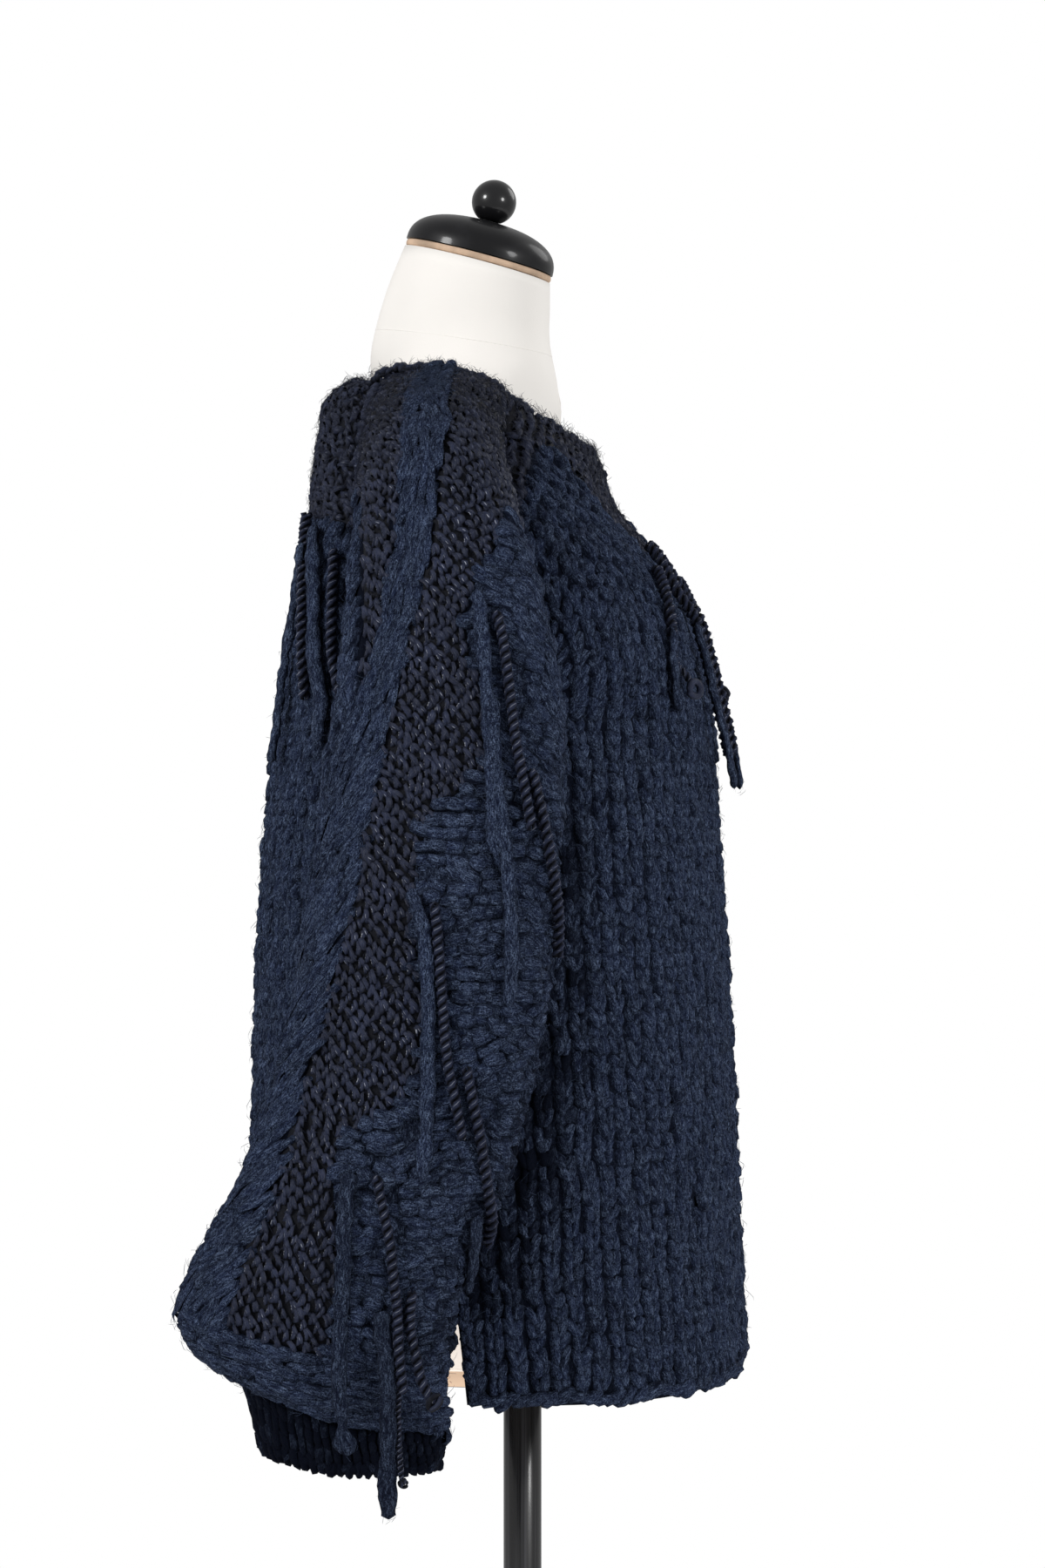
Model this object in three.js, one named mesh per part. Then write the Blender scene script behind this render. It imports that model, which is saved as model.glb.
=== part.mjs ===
// A chunky hand-knit sweater on a limbless dress form with a round-footed stand.
// Millimetres, +Z up. The origin is on the floor, at the centre of the foot's underside.
// The front faces -Y, and the wearer's right sleeve hangs at -X.
// Every knit piece is a wall WALL thick, laid out on a few smooth surfaces: the two sleeves are tubes
// of rings, and the front and the back are rows that run between the sleeves' raglan seams above the
// underarm, and round the side seams below it.

import * as THREE from "three";

// Driving dimensions
const HEM_HEIGHT = 500; // hem above the floor
const CHEST = HEM_HEIGHT + 381; // the level that the tables' heights are measured from
const WALL = 8; // thickness of the knit
const SEAM_GAP = 0.3; // clear gap between neighbouring pieces
const FRINGE_DEPTH = 8; // thickness of the plain solids that stand for groups of yarn tails
const FRINGE_GAP = 1.4; // between them and the knit
const UNDERARM = 1; // the sleeve ring, and the body row, at the underarm
const SLEEVE_HEM = 3.6; // the sleeve ring where the blouse starts to turn under
const CUFF_SEAM = 4.1; // the sleeve ring that is gathered on to the cuff
const YOKE_AT_SEAM = 0.5; // the body row where the yokes' lower edges meet the raglan seams
const SLIT_TOP = -300; // top of the side slits
const SLIT_HALF_WIDTH = 9; // half the side slits' width at the hem
const POLE_RADIUS = 12.5;
const FOOT = { radius: 160, thickness: 9, hubRadius: 26, hubHeight: 40 };
const NECK_TILT = THREE.MathUtils.degToRad(15); // the neck's top plane leans forward
const STRIP_THICKNESS = 5;
const CAP = { halfLength: 50, halfWidth: 45, height: 24 };
const FINIAL_RADIUS = 14.7;

// Sizes by section. table() turns rows of numbers into functions of the first column, by name.
function table(names, rows) {
  const columns = {};
  names.split(" ").forEach((name, c) => {
    columns[name] = rows.map((row) => row[c]);
  });
  const [key] = names.split(" ");
  return Object.fromEntries(
    Object.entries(columns).map(([name, values]) => [name, smooth(columns[key], values)]),
  );
}

// A smooth curve through a column's values (cubic, with each slope from its two neighbours).
function smooth(at, values) {
  const steps = at.slice(1).map((x, i) => x - at[i]);
  const slopes = steps.map((h, i) => (values[i + 1] - values[i]) / h);
  const tangents = values.map((_, i) => {
    if (i === 0) return slopes[0];
    if (i === values.length - 1) return slopes[i - 1];
    return (slopes[i - 1] * steps[i] + slopes[i] * steps[i - 1]) / (steps[i - 1] + steps[i]);
  });
  return (x) => {
    let i = at.findLastIndex((start) => start <= x);
    i = THREE.MathUtils.clamp(i, 0, steps.length - 1);
    const t = THREE.MathUtils.clamp((x - at[i]) / steps[i], 0, 1);
    const u = 1 - t;
    return (
      (1 + 2 * t) * u * u * values[i] +
      t * u * u * tangents[i] * steps[i] +
      t * t * (3 - 2 * t) * values[i + 1] -
      t * t * u * tangents[i + 1] * steps[i]
    );
  };
}

// Sleeve rings from the neckline (0) over the shoulder to the armhole (1) and down to the cuff seam.
// Each ring has an outer and an inner point, a middle, and a reach to the front and to the back, whose
// extremes may lie higher or lower than its middle.
const SLEEVE = table("ring outX outZ inX inZ midY front back frontLift backLift", [
  [0.0, 86, 269, 76, 228, 42, 47, 46, -7, -2],
  [0.25, 136, 256, 108, 170, 42, 46, 46, 0, 0],
  [0.5, 188, 236, 150, 114, 38, 52, 45, 0, 0],
  [0.75, 232, 200, 186, 72, 31, 60, 49, 0, 0],
  [1.0, 260, 146, 206, 44, 27, 71, 53, 0, 0],
  [1.35, 277, 86, 212, 10, 26, 80, 58, 0, 0],
  [1.7, 287, 20, 215, -26, 27, 82, 63, 0, 0],
  [2.0, 293, -45, 217, -64, 31, 84, 66, 0, 0],
  [2.3, 296, -108, 218, -112, 37, 85, 68, 0, 0],
  [2.6, 299, -168, 219, -168, 44, 84, 73, 0, 0],
  [2.85, 302, -214, 220, -212, 55, 84, 76, 0, 2],
  [3.1, 306, -256, 220, -252, 71, 87, 74, -2, 6],
  [3.35, 309, -296, 220, -290, 87, 84, 77, -6, 12],
  [3.6, 309, -338, 222, -332, 98, 86, 80, -12, 19],
  [3.85, 305, -366, 226, -363, 96, 83, 74, -9, 24],
  [4.1, 291, -384, 232, -390, 82, 68, 65, -7, 28],
]);
const SLEEVE_FULLNESS = 2.3; // 2 is an ellipse, more is squarer

// Angles round the sleeve, in degrees from its outermost line, positive to the front.
const RAGLAN = table("ring front back", [
  [0.0, 58, -60],
  [0.25, 82, -84],
  [0.5, 100, -100],
  [0.75, 126, -124],
  [1.0, 180, -180],
]);
const RIDGE = table("ring front back", [
  [0.0, 9, -8],
  [0.57, 11, -13],
  [0.83, 4, -23],
  [1.16, -3, -31],
  [1.35, -9, -36],
  [1.65, -19, -48],
  [1.9, -27, -62],
  [2.15, -31, -76],
  [2.45, -41, -80],
  [2.95, -38, -84],
  [3.3, -30, -85],
  [3.6, -26, -85],
]);
const MOSS_FRONT_EDGE = table("ring angle", [
  [0.5, 97],
  [0.6, 95],
  [0.72, 80],
  [0.85, 50],
  [1.0, 32],
  [1.16, 18],
  [1.33, 16],
  [1.78, 21],
  [1.84, 10],
  [1.97, 2],
  [2.15, 2],
  [2.67, 8],
  [2.76, 1],
  [2.82, -8],
  [2.97, -8],
  [3.28, 9],
  [3.48, 12],
  [3.6, 10],
]);
const MOSS_BACK_EDGE = table("ring angle", [
  [0.5, -96],
  [0.63, -70],
  [0.83, -58],
  [1.09, -47],
  [1.3, -42],
]);
const MOSS_BACK_TIP = 1.26; // the ring where the back moss band runs out

// Body rows from the neckline (0) to the underarm (1) and the hem (2): the centre front, the centre
// back, and how far the bust line stands proud at each side of the centre front.
const BODY = table("row frontY frontZ backY backZ bust", [
  [0.0, -47, 219, 112, 265, 0],
  [0.1, -51, 206, 126, 254, 2],
  [0.25, -57, 184, 131, 222, 3],
  [0.5, -86, 148, 133, 166, 3],
  [0.75, -110, 104, 141, 104, 3],
  [1.0, -122, 44, 153, 44, 2],
  [1.25, -127, -30, 162, -30, 0],
  [1.5, -133, -120, 168, -120, 0],
  [1.75, -139, -240, 171, -240, 0],
  [2.0, -145, -381, 174, -381, 0],
]);
const SIDE = table("row halfWidth y", [
  [1.0, 206, 32],
  [1.25, 208, 30],
  [1.5, 210, 26],
  [1.75, 213, 21],
  [2.0, 217, 17],
]);
const BODY_FULLNESS = { front: 2.7, back: 2.6 };
const BUST = { x: 95, spread: 38 };

// Lower edges of the yokes: the body row by how far across from the centre (0) to the seam (1).
const FRONT_YOKE_EDGE = table("across row", [
  [0.0, 0.47],
  [0.15, 0.42],
  [0.3, 0.32],
  [0.45, 0.22],
  [0.6, 0.17],
  [0.77, 0.2],
  [0.88, 0.33],
  [1.0, YOKE_AT_SEAM],
]);
const BACK_YOKE_EDGE = table("across row", [
  [0.0, 0.45],
  [0.5, 0.47],
  [1.0, YOKE_AT_SEAM],
]);

// Ribbed cuff, from the gathered seam (0) to its lower edge (1).
const CUFF = table("row outX outZ inX inZ midY front back frontLift backLift", [
  [0.0, 291, -384, 232, -390, 82, 68, 65, -7, 28],
  [0.5, 290, -399, 233, -402, 80, 65, 62, -3, 18],
  [1.0, 288, -415, 236, -413, 78, 61, 58, 1, 11],
]);

// Dress form, from its lower edge to the neck's top.
const FORM = table("height halfWidth frontY backY midY fullness", [
  [-377, 164, -112, 118, 8, 2.3],
  [-300, 168, -114, 124, 8, 2.3],
  [-220, 156, -100, 110, 8, 2.3],
  [-140, 128, -82, 94, 8, 2.2],
  [-60, 132, -88, 100, 8, 2.2],
  [20, 146, -100, 116, 12, 2.3],
  [90, 152, -88, 122, 20, 2.4],
  [150, 160, -50, 116, 32, 2.4],
  [190, 166, -33, 108, 38, 1.9],
  [214, 166, -28, 103, 41, 1.5],
  [230, 160, -26, 101, 42, 1.2],
  [240, 146, -25, 101, 42, 1.15],
  [248, 124, -26, 100, 42, 1.15],
  [256, 96, -24, 100, 42, 1.3],
  [264, 74, -23, 100, 42, 1.6],
  [274, 60, -21, 101, 41, 1.9],
  [290, 52, -18, 100, 41, 2.0],
  [320, 47, -18, 90, 36, 2.0],
  [343, 45, -18, 78, 30, 2.0],
]);
const NECK_START = 300; // above this height the form's sections lean forward with the neck

// Groups of yarn tails left hanging at the colour changes, as solids of their reach. On a sleeve the
// columns are rings and angles, and on the body they are rows and parts of the way across.
const SLEEVE_FRINGES = {
  upper: table("ring low high", [
    [1.2, 22, 36],
    [1.6, 27, 52],
    [2.0, 28, 60],
    [2.45, 34, 56],
  ]),
  middle: table("ring low high", [
    [2.12, 4, 12],
    [2.4, 9, 22],
    [2.7, 10, 34],
    [3.1, 26, 60],
  ]),
  low: table("ring low high", [
    [2.95, -5, 8],
    [3.2, -2, 22],
    [3.5, 4, 40],
  ]),
};
const CHEST_FRINGE = table("row low high", [
  [0.5, 0.04, 0.34],
  [0.8, 0.04, 0.36],
  [1.1, 0.03, 0.26],
]);
const SHOULDER_FRINGE = table("row low high", [
  [0.52, 0.55, 0.84],
  [0.8, 0.5, 0.8],
  [1.12, 0.42, 0.74],
]);
const LOW_FRINGE_DROP = 118; // how far the lowest group hangs past the sleeve
const LOW_FRINGE_TAPER = 0.7; // and how much it narrows on the way

const NAVY = { color: 0x222939, roughness: 0.95, metalness: 0 };
const CHARCOAL = { color: 0x272a37, roughness: 0.8, metalness: 0 };
const JERSEY = { color: 0xf0ece6, roughness: 0.9, metalness: 0 };
const LINEN = { color: 0xbc9f88, roughness: 0.9, metalness: 0 };
const SATIN_BLACK = { color: 0x141416, roughness: 0.35, metalness: 0 };
const GLOSS_BLACK = { color: 0x101012, roughness: 0.15, metalness: 0 };

const sweater = new THREE.Group();
const dressForm = new THREE.Group();

function add(group, name, geometry, finish) {
  const mesh = new THREE.Mesh(geometry, new THREE.MeshStandardMaterial(finish));
  mesh.name = name;
  group.add(mesh);
}

// Superellipse cosine and sine.
function rounded(angle, fullness) {
  const power = (v) => Math.sign(v) * Math.abs(v) ** (2 / fullness);
  return [power(Math.cos(angle)), power(Math.sin(angle))];
}

// A point of one of the ring tables, on the wearer's left (+X).
function ringPoint(rings, at, degrees) {
  const [out, forward] = rounded(THREE.MathUtils.degToRad(degrees), SLEEVE_FULLNESS);
  const mix = (inside, outside) => (inside + outside) / 2 + ((outside - inside) / 2) * out;
  const reach = forward > 0 ? -rings.front(at) * forward : -rings.back(at) * forward;
  const lift = forward > 0 ? rings.frontLift(at) * forward : -rings.backLift(at) * forward;
  return new THREE.Vector3(
    mix(rings.inX(at), rings.outX(at)),
    rings.midY(at) + reach,
    CHEST + mix(rings.inZ(at), rings.outZ(at)) + lift,
  );
}
const sleevePoint = (ring, degrees) => ringPoint(SLEEVE, ring, degrees);
const cuffPoint = (row, degrees) => ringPoint(CUFF, row, degrees);

// A point of the front or the back. across runs from -1 (right seam) through 0 (centre) to 1.
function bodyPoint(face, row, across) {
  const isFront = face === "front";
  const centreY = isFront ? BODY.frontY(row) : BODY.backY(row);
  const centreZ = isFront ? BODY.frontZ(row) : BODY.backZ(row);
  const seam = sideSeam(face, row);
  const square = Math.max(0, 1 - row) ** 2; // rounder towards the neckline
  const fullness = BODY_FULLNESS[face] * (1 - square) + 2 * square;
  const [out, forward] = rounded(((1 - Math.abs(across)) * Math.PI) / 2, fullness);
  const x = seam.x * out;
  const bust = isFront ? BODY.bust(row) * Math.exp(-(((x - BUST.x) / BUST.spread) ** 2)) : 0;
  const y = THREE.MathUtils.lerp(seam.y, centreY, forward) - bust * Math.min(1, forward * 1.2);
  const z = THREE.MathUtils.lerp(seam.z, CHEST + centreZ, 1 - Math.abs(across) ** 1.6);
  return new THREE.Vector3(Math.sign(across) * x, y, z);
}

// Where a body row ends: on the raglan seam, or below the underarm on the side seam and its slit.
function sideSeam(face, row) {
  if (row <= UNDERARM) return sleevePoint(row, RAGLAN[face](row));
  const height = BODY.frontZ(row);
  const down = THREE.MathUtils.clamp((SLIT_TOP - height) / (SLIT_TOP - BODY.frontZ(2)), 0, 1);
  const slit = SLIT_HALF_WIDTH * down ** 0.7 * (face === "front" ? -1 : 1);
  return new THREE.Vector3(SIDE.halfWidth(row), SIDE.y(row) + slit, CHEST + height);
}

// The surface's direction outward at (a, b), from two short steps along it.
function outward(surface, a, b, stepA, stepB, sign) {
  const alongA = surface(a + stepA, b).sub(surface(a - stepA, b));
  const alongB = surface(a, b + stepB).sub(surface(a, b - stepB));
  return alongA.cross(alongB).normalize().multiplyScalar(sign);
}
const sleeveNormal = (ring, degrees) => outward(sleevePoint, ring, degrees, 0.02, 1.5, -1);
const cuffNormal = (row, degrees) => outward(cuffPoint, row, degrees, 0.05, 1.5, -1);
function bodyNormal(face, row, across) {
  const surface = (r, a) => bodyPoint(face, r, THREE.MathUtils.clamp(a, -1, 1));
  const safeRow = THREE.MathUtils.clamp(row, 0.02, 1.98);
  return outward(surface, safeRow, across, 0.02, 0.02, face === "front" ? 1 : -1);
}

// A grid of surface points and normals over rows, each from its low to its high side.
function grid(rows, columns, low, high, point, normal) {
  return rows.map((row) =>
    Array.from({ length: columns + 1 }, (_, j) => {
      const at = THREE.MathUtils.lerp(low(row), high(row), j / columns);
      return { point: point(row, at), normal: normal(row, at) };
    }),
  );
}

// Draws a grid's edges in, so that neighbouring pieces keep SEAM_GAP between them.
function eased(cells, edges) {
  const step = SEAM_GAP * 0.65;
  const pull = (cell, toward) => {
    const way = toward.point.clone().sub(cell.point).setLength(step);
    return { point: cell.point.clone().add(way), normal: cell.normal };
  };
  let result = cells;
  if (edges.includes("sides")) {
    result = result.map((row) => {
      const last = row.length - 1;
      return row.map((cell, j) => {
        if (j === 0) return pull(cell, row[1]);
        return j === last ? pull(cell, row[last - 1]) : cell;
      });
    });
  }
  const before = result;
  const last = before.length - 1;
  return before.map((row, i) =>
    row.map((cell, j) => {
      if (i === 0 && edges.includes("top")) return pull(cell, before[1][j]);
      if (i === last && edges.includes("bottom")) return pull(cell, before[last - 1][j]);
      return cell;
    }),
  );
}

// A wall on a grid, between two depths below its surface. A ring's columns close on themselves.
function wall(cells, { from = 0, to = WALL, ring = false } = {}) {
  const rows = cells.length;
  const columns = cells[0].length - (ring ? 1 : 0);
  const positions = [];
  [from, to].forEach((depth) => {
    cells.forEach((row) =>
      row.slice(0, columns).forEach(({ point, normal }) => {
        positions.push(...point.clone().addScaledVector(normal, -depth).toArray());
      }),
    );
  });
  const at = (layer, i, j) => layer * rows * columns + i * columns + (j % columns);
  const quads = [];
  const lastColumn = ring ? columns : columns - 1;
  for (let i = 0; i < rows - 1; i += 1) {
    for (let j = 0; j < lastColumn; j += 1) {
      quads.push([at(0, i, j), at(0, i + 1, j), at(0, i + 1, j + 1), at(0, i, j + 1)]);
      quads.push([at(1, i, j), at(1, i, j + 1), at(1, i + 1, j + 1), at(1, i + 1, j)]);
    }
  }
  for (let j = 0; j < lastColumn; j += 1) {
    quads.push([at(0, 0, j + 1), at(1, 0, j + 1), at(1, 0, j), at(0, 0, j)]);
    quads.push([at(0, rows - 1, j + 1), at(0, rows - 1, j), at(1, rows - 1, j), at(1, rows - 1, j + 1)]);
  }
  for (let i = 0; i < rows - 1 && !ring; i += 1) {
    quads.push([at(0, i + 1, 0), at(0, i, 0), at(1, i, 0), at(1, i + 1, 0)]);
    const [a, b] = [lastColumn, i + 1];
    quads.push([at(0, b, a), at(1, b, a), at(1, i, a), at(0, i, a)]);
  }
  return solid(positions, quads);
}

// A closed mesh from quads, turned right side out.
function solid(positions, quads) {
  const index = quads.flatMap(([a, b, c, d]) => [a, b, c, a, c, d]);
  const corner = (i) => new THREE.Vector3().fromArray(positions, index[i] * 3);
  let volume = 0;
  for (let i = 0; i < index.length; i += 3) {
    volume += corner(i).dot(corner(i + 1).cross(corner(i + 2)));
  }
  const geometry = new THREE.BufferGeometry();
  geometry.setAttribute("position", new THREE.Float32BufferAttribute(positions, 3));
  geometry.setIndex(volume > 0 ? index : index.reverse());
  return geometry;
}

// The same piece for the other side of the body.
function mirrored(geometry) {
  const copy = geometry.clone();
  copy.scale(-1, 1, 1);
  copy.setIndex([...copy.index.array].reverse());
  return copy;
}

function addPair(name, geometry, finish) {
  add(sweater, `${name}_left`, geometry, finish);
  add(sweater, `${name}_right`, mirrored(geometry), finish);
}

const steps = (from, to, count) =>
  Array.from({ length: count + 1 }, (_, i) => from + ((to - from) * i) / count);

// Rows that the sleeves and the body share along the raglan seams, and the rings below them.
const RAGLAN_STEP = 0.125;
const RINGS = [...steps(0, UNDERARM, 8), ...steps(UNDERARM, SLEEVE_HEM, 17).slice(1)];
const ringsBetween = (from, to) => RINGS.filter((r) => r >= from - 1e-9 && r <= to + 1e-9);

const mossFrontEdge = (ring) =>
  ring < YOKE_AT_SEAM - 1e-9 ? RAGLAN.front(ring) : MOSS_FRONT_EDGE.angle(ring);
const mossBackEdge = (ring) =>
  ring < YOKE_AT_SEAM - 1e-9 ? RAGLAN.back(ring) : MOSS_BACK_EDGE.angle(ring);
const sleeveFrontLimit = (ring) => (ring < UNDERARM ? RAGLAN.front(ring) : 180);
const sleeveBackLimit = (ring) => (ring < UNDERARM ? RAGLAN.back(ring) : -180);
const behindBands = (ring) => (ring <= MOSS_BACK_TIP ? mossBackEdge(ring) : RIDGE.back(ring));

function addSleeves() {
  const strip = (from, to, columns, low, high) =>
    wall(
      eased(grid(ringsBetween(from, to), columns, low, high, sleevePoint, sleeveNormal), [
        "sides",
        "bottom",
      ]),
    );
  addPair("sleeve_ridge", strip(0, SLEEVE_HEM, 2, RIDGE.back, RIDGE.front), NAVY);
  addPair("sleeve_moss_front", strip(0, SLEEVE_HEM, 3, RIDGE.front, mossFrontEdge), CHARCOAL);
  addPair("sleeve_moss_back", strip(0, MOSS_BACK_TIP, 3, mossBackEdge, RIDGE.back), CHARCOAL);
  addPair(
    "sleeve_front",
    strip(YOKE_AT_SEAM, SLEEVE_HEM, 7, mossFrontEdge, sleeveFrontLimit),
    NAVY,
  );
  addPair("sleeve_back", strip(YOKE_AT_SEAM, SLEEVE_HEM, 5, sleeveBackLimit, behindBands), NAVY);

  // The blouse turns under and is gathered on to the cuff, where both walls share one slant.
  const low = () => -180;
  const high = () => 180;
  const columns = 20;
  const end = grid(steps(SLEEVE_HEM, CUFF_SEAM, 4), columns, low, high, sleevePoint, sleeveNormal);
  const cuff = grid(steps(0, 1, 3), columns, low, high, cuffPoint, cuffNormal);
  end.at(-1).forEach((cell, j) => {
    cell.normal.add(cuff[0][j].normal).normalize();
    cuff[0][j].normal = cell.normal;
  });
  end.slice(1, -1).forEach((row, i) =>
    row.forEach((cell, j) => {
      cell.normal.lerpVectors(end[0][j].normal, end.at(-1)[j].normal, (i + 1) / (end.length - 1));
      cell.normal.normalize();
    }),
  );
  addPair("sleeve_end", wall(eased(end, ["top", "bottom"]), { ring: true }), NAVY);
  addPair("cuff", wall(eased(cuff, ["top"]), { ring: true }), NAVY);
}

// The front and the back, each with its yoke above the zig-zag or straight colour change.
function addBody(face, yokeEdge) {
  const columns = 18;
  const across = steps(-1, 1, columns);
  const panel = (rowsAt, rowCount, edges) => {
    const cells = Array.from({ length: rowCount + 1 }, (_, i) =>
      across.map((a) => {
        const row = rowsAt(a, i / rowCount);
        return { point: bodyPoint(face, row, a), normal: bodyNormal(face, row, a) };
      }),
    );
    return wall(eased(cells, ["sides", ...edges]));
  };
  const edgeRow = (a) => yokeEdge.row(Math.abs(a));
  const yokeRows = Math.round(YOKE_AT_SEAM / RAGLAN_STEP);
  const upperRows = Math.round(UNDERARM / RAGLAN_STEP) - yokeRows;
  const lowerRows = 10;
  add(sweater, `${face}_yoke`, panel((a, t) => edgeRow(a) * t, yokeRows, ["bottom"]), CHARCOAL);
  const bodyRow = (a, t) => {
    const step = t * (upperRows + lowerRows);
    if (step <= upperRows) return THREE.MathUtils.lerp(edgeRow(a), UNDERARM, step / upperRows);
    return UNDERARM + (step - upperRows) / lowerRows;
  };
  add(sweater, `${face}_body`, panel(bodyRow, upperRows + lowerRows, ["top"]), NAVY);
}

// Yarn tails: plain solids of each group's reach, just outside the knit that they hang from.
function addFringes() {
  const reach = { from: -FRINGE_GAP - FRINGE_DEPTH, to: -FRINGE_GAP };
  const onSleeve = (span, from, to, count) =>
    grid(steps(from, to, count), 3, span.low, span.high, sleevePoint, sleeveNormal);
  addPair("fringe_sleeve_upper", wall(onSleeve(SLEEVE_FRINGES.upper, 1.2, 2.45, 6), reach), NAVY);
  addPair("fringe_sleeve_middle", wall(onSleeve(SLEEVE_FRINGES.middle, 2.12, 3.1, 6), reach), NAVY);

  // The lowest group leaves the sleeve above its turned end, and hangs free in front of the cuff.
  const low = onSleeve(SLEEVE_FRINGES.low, 2.95, 3.5, 3);
  const [first, , , last] = low.at(-1);
  const centre = first.point.clone().add(last.point).divideScalar(2);
  const hanging = steps(0, 1, 3)
    .slice(1)
    .map((t) =>
      low.at(-1).map(({ point, normal }) => ({
        point: point
          .clone()
          .lerp(centre, LOW_FRINGE_TAPER * t)
          .setZ(point.z - LOW_FRINGE_DROP * t),
        normal,
      })),
    );
  addPair("fringe_sleeve_low", wall([...low, ...hanging], reach), NAVY);

  const onBody = (face, span, from, to) => {
    const point = (row, a) => bodyPoint(face, row, a);
    const normal = (row, a) => bodyNormal(face, row, a);
    return wall(grid(steps(from, to, 5), 3, span.low, span.high, point, normal), reach);
  };
  addPair("fringe_chest", onBody("front", CHEST_FRINGE, 0.5, 1.1), NAVY);
  addPair("fringe_shoulder", onBody("back", SHOULDER_FRINGE, 0.52, 1.12), NAVY);
}

// A solid of stacked closed sections, each a list of points in the same order.
function loft(sections) {
  const columns = sections[0].length;
  const positions = sections.flat().flatMap((p) => p.toArray());
  const quads = [];
  for (let i = 0; i < sections.length - 1; i += 1) {
    for (let j = 0; j < columns; j += 1) {
      const next = (j + 1) % columns;
      quads.push([i * columns + j, i * columns + next, (i + 1) * columns + next, (i + 1) * columns + j]);
    }
  }
  const last = (sections.length - 1) * columns;
  const half = columns / 2;
  for (let j = 0; j < half - 1; j += 1) {
    const [a, b, c, d] = [j, j + 1, columns - 2 - j, columns - 1 - j];
    quads.push([d, c, b, a]);
    quads.push([last + a, last + b, last + c, last + d]);
  }
  return solid(positions, quads);
}

function addDressForm() {
  const section = (height) => {
    const lean = Math.max(0, height - NECK_START) / (343 - NECK_START);
    return steps(0, 360, 32)
      .slice(0, -1)
      .map((degrees) => {
        const angle = THREE.MathUtils.degToRad(degrees);
        const [x, forward] = rounded(angle, FORM.fullness(height));
        const limit = forward > 0 ? FORM.frontY(height) : FORM.backY(height);
        const y = THREE.MathUtils.lerp(FORM.midY(height), limit, Math.abs(forward));
        const tilt = Math.tan(NECK_TILT) * lean * (y - FORM.midY(height));
        return new THREE.Vector3(x * FORM.halfWidth(height), y, CHEST + height + tilt);
      });
  };
  const heights = [
    ...steps(-377, 150, 14),
    ...[170, 190, 204, 216, 226, 234, 240, 246, 252, 258, 264, 269, 276, 290, 305, 320, 332, 343],
  ];
  add(dressForm, "form_torso", loft(heights.map(section)), JERSEY);

  // The neck's top: a bare linen strip, a domed cap and a ball, square to the leaning neck.
  const neckTop = new THREE.Group();
  neckTop.position.set(0, FORM.midY(343), CHEST + 343);
  neckTop.rotation.x = NECK_TILT;
  dressForm.add(neckTop);
  const turned = (profile, segments) => {
    const geometry = new THREE.LatheGeometry(profile, segments);
    return geometry.rotateX(Math.PI / 2);
  };
  const strip = turned(
    [
      new THREE.Vector2(0, SEAM_GAP),
      new THREE.Vector2(1, SEAM_GAP),
      new THREE.Vector2(1, STRIP_THICKNESS),
      new THREE.Vector2(0, STRIP_THICKNESS),
    ],
    40,
  );
  strip.scale(CAP.halfWidth - 2, CAP.halfLength - 3, 1);
  add(neckTop, "form_neck_strip", strip, LINEN);

  const capBase = STRIP_THICKNESS + SEAM_GAP;
  const dome = steps(0, 90, 9).map((degrees) => {
    const [radius, height] = rounded(THREE.MathUtils.degToRad(degrees), 2.5);
    return new THREE.Vector2(degrees === 90 ? 0 : radius, capBase + height * CAP.height);
  });
  const cap = turned([new THREE.Vector2(0, capBase), ...dome], 40);
  cap.scale(CAP.halfWidth, CAP.halfLength, 1);
  add(neckTop, "form_neck_cap", cap, SATIN_BLACK);

  const ballBase = capBase + CAP.height + SEAM_GAP;
  const stem = FINIAL_RADIUS * 0.45;
  const stemAngle = Math.asin(stem / FINIAL_RADIUS);
  const centre = ballBase + FINIAL_RADIUS * Math.cos(stemAngle);
  const ball = steps(stemAngle, Math.PI, 12).map(
    (angle) =>
      new THREE.Vector2(
        angle > 3.14 ? 0 : FINIAL_RADIUS * Math.sin(angle),
        centre - FINIAL_RADIUS * Math.cos(angle),
      ),
  );
  add(neckTop, "form_finial", turned([new THREE.Vector2(0, ballBase), ...ball], 28), GLOSS_BLACK);

  // The pole, from the foot's hub to the form's underside, and the round foot.
  const top = CHEST - 377 - SEAM_GAP;
  const pole = new THREE.CylinderGeometry(POLE_RADIUS, POLE_RADIUS, top - FOOT.hubHeight - SEAM_GAP, 32);
  pole.rotateX(Math.PI / 2);
  pole.translate(0, 0, (top + FOOT.hubHeight + SEAM_GAP) / 2);
  add(dressForm, "stand_pole", pole, GLOSS_BLACK);
  const foot = turned(
    [
      new THREE.Vector2(0, 0),
      new THREE.Vector2(FOOT.radius, 0),
      new THREE.Vector2(FOOT.radius, FOOT.thickness - 3),
      new THREE.Vector2(FOOT.radius - 4, FOOT.thickness),
      new THREE.Vector2(FOOT.hubRadius + 6, FOOT.thickness + 3),
      new THREE.Vector2(FOOT.hubRadius, FOOT.thickness + 9),
      new THREE.Vector2(FOOT.hubRadius - 5, FOOT.hubHeight),
      new THREE.Vector2(0, FOOT.hubHeight),
    ],
    48,
  );
  add(dressForm, "stand_base", foot, SATIN_BLACK);
}

addSleeves();
addBody("front", FRONT_YOKE_EDGE);
addBody("back", BACK_YOKE_EDGE);
addFringes();
addDressForm();

const model = new THREE.Group();
model.add(sweater, dressForm);

export default model;
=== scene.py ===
import math

import bmesh
import bpy
import numpy as np
from bpy.props import FloatProperty, FloatVectorProperty, IntProperty, PointerProperty
from mathutils import Matrix, Vector


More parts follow.
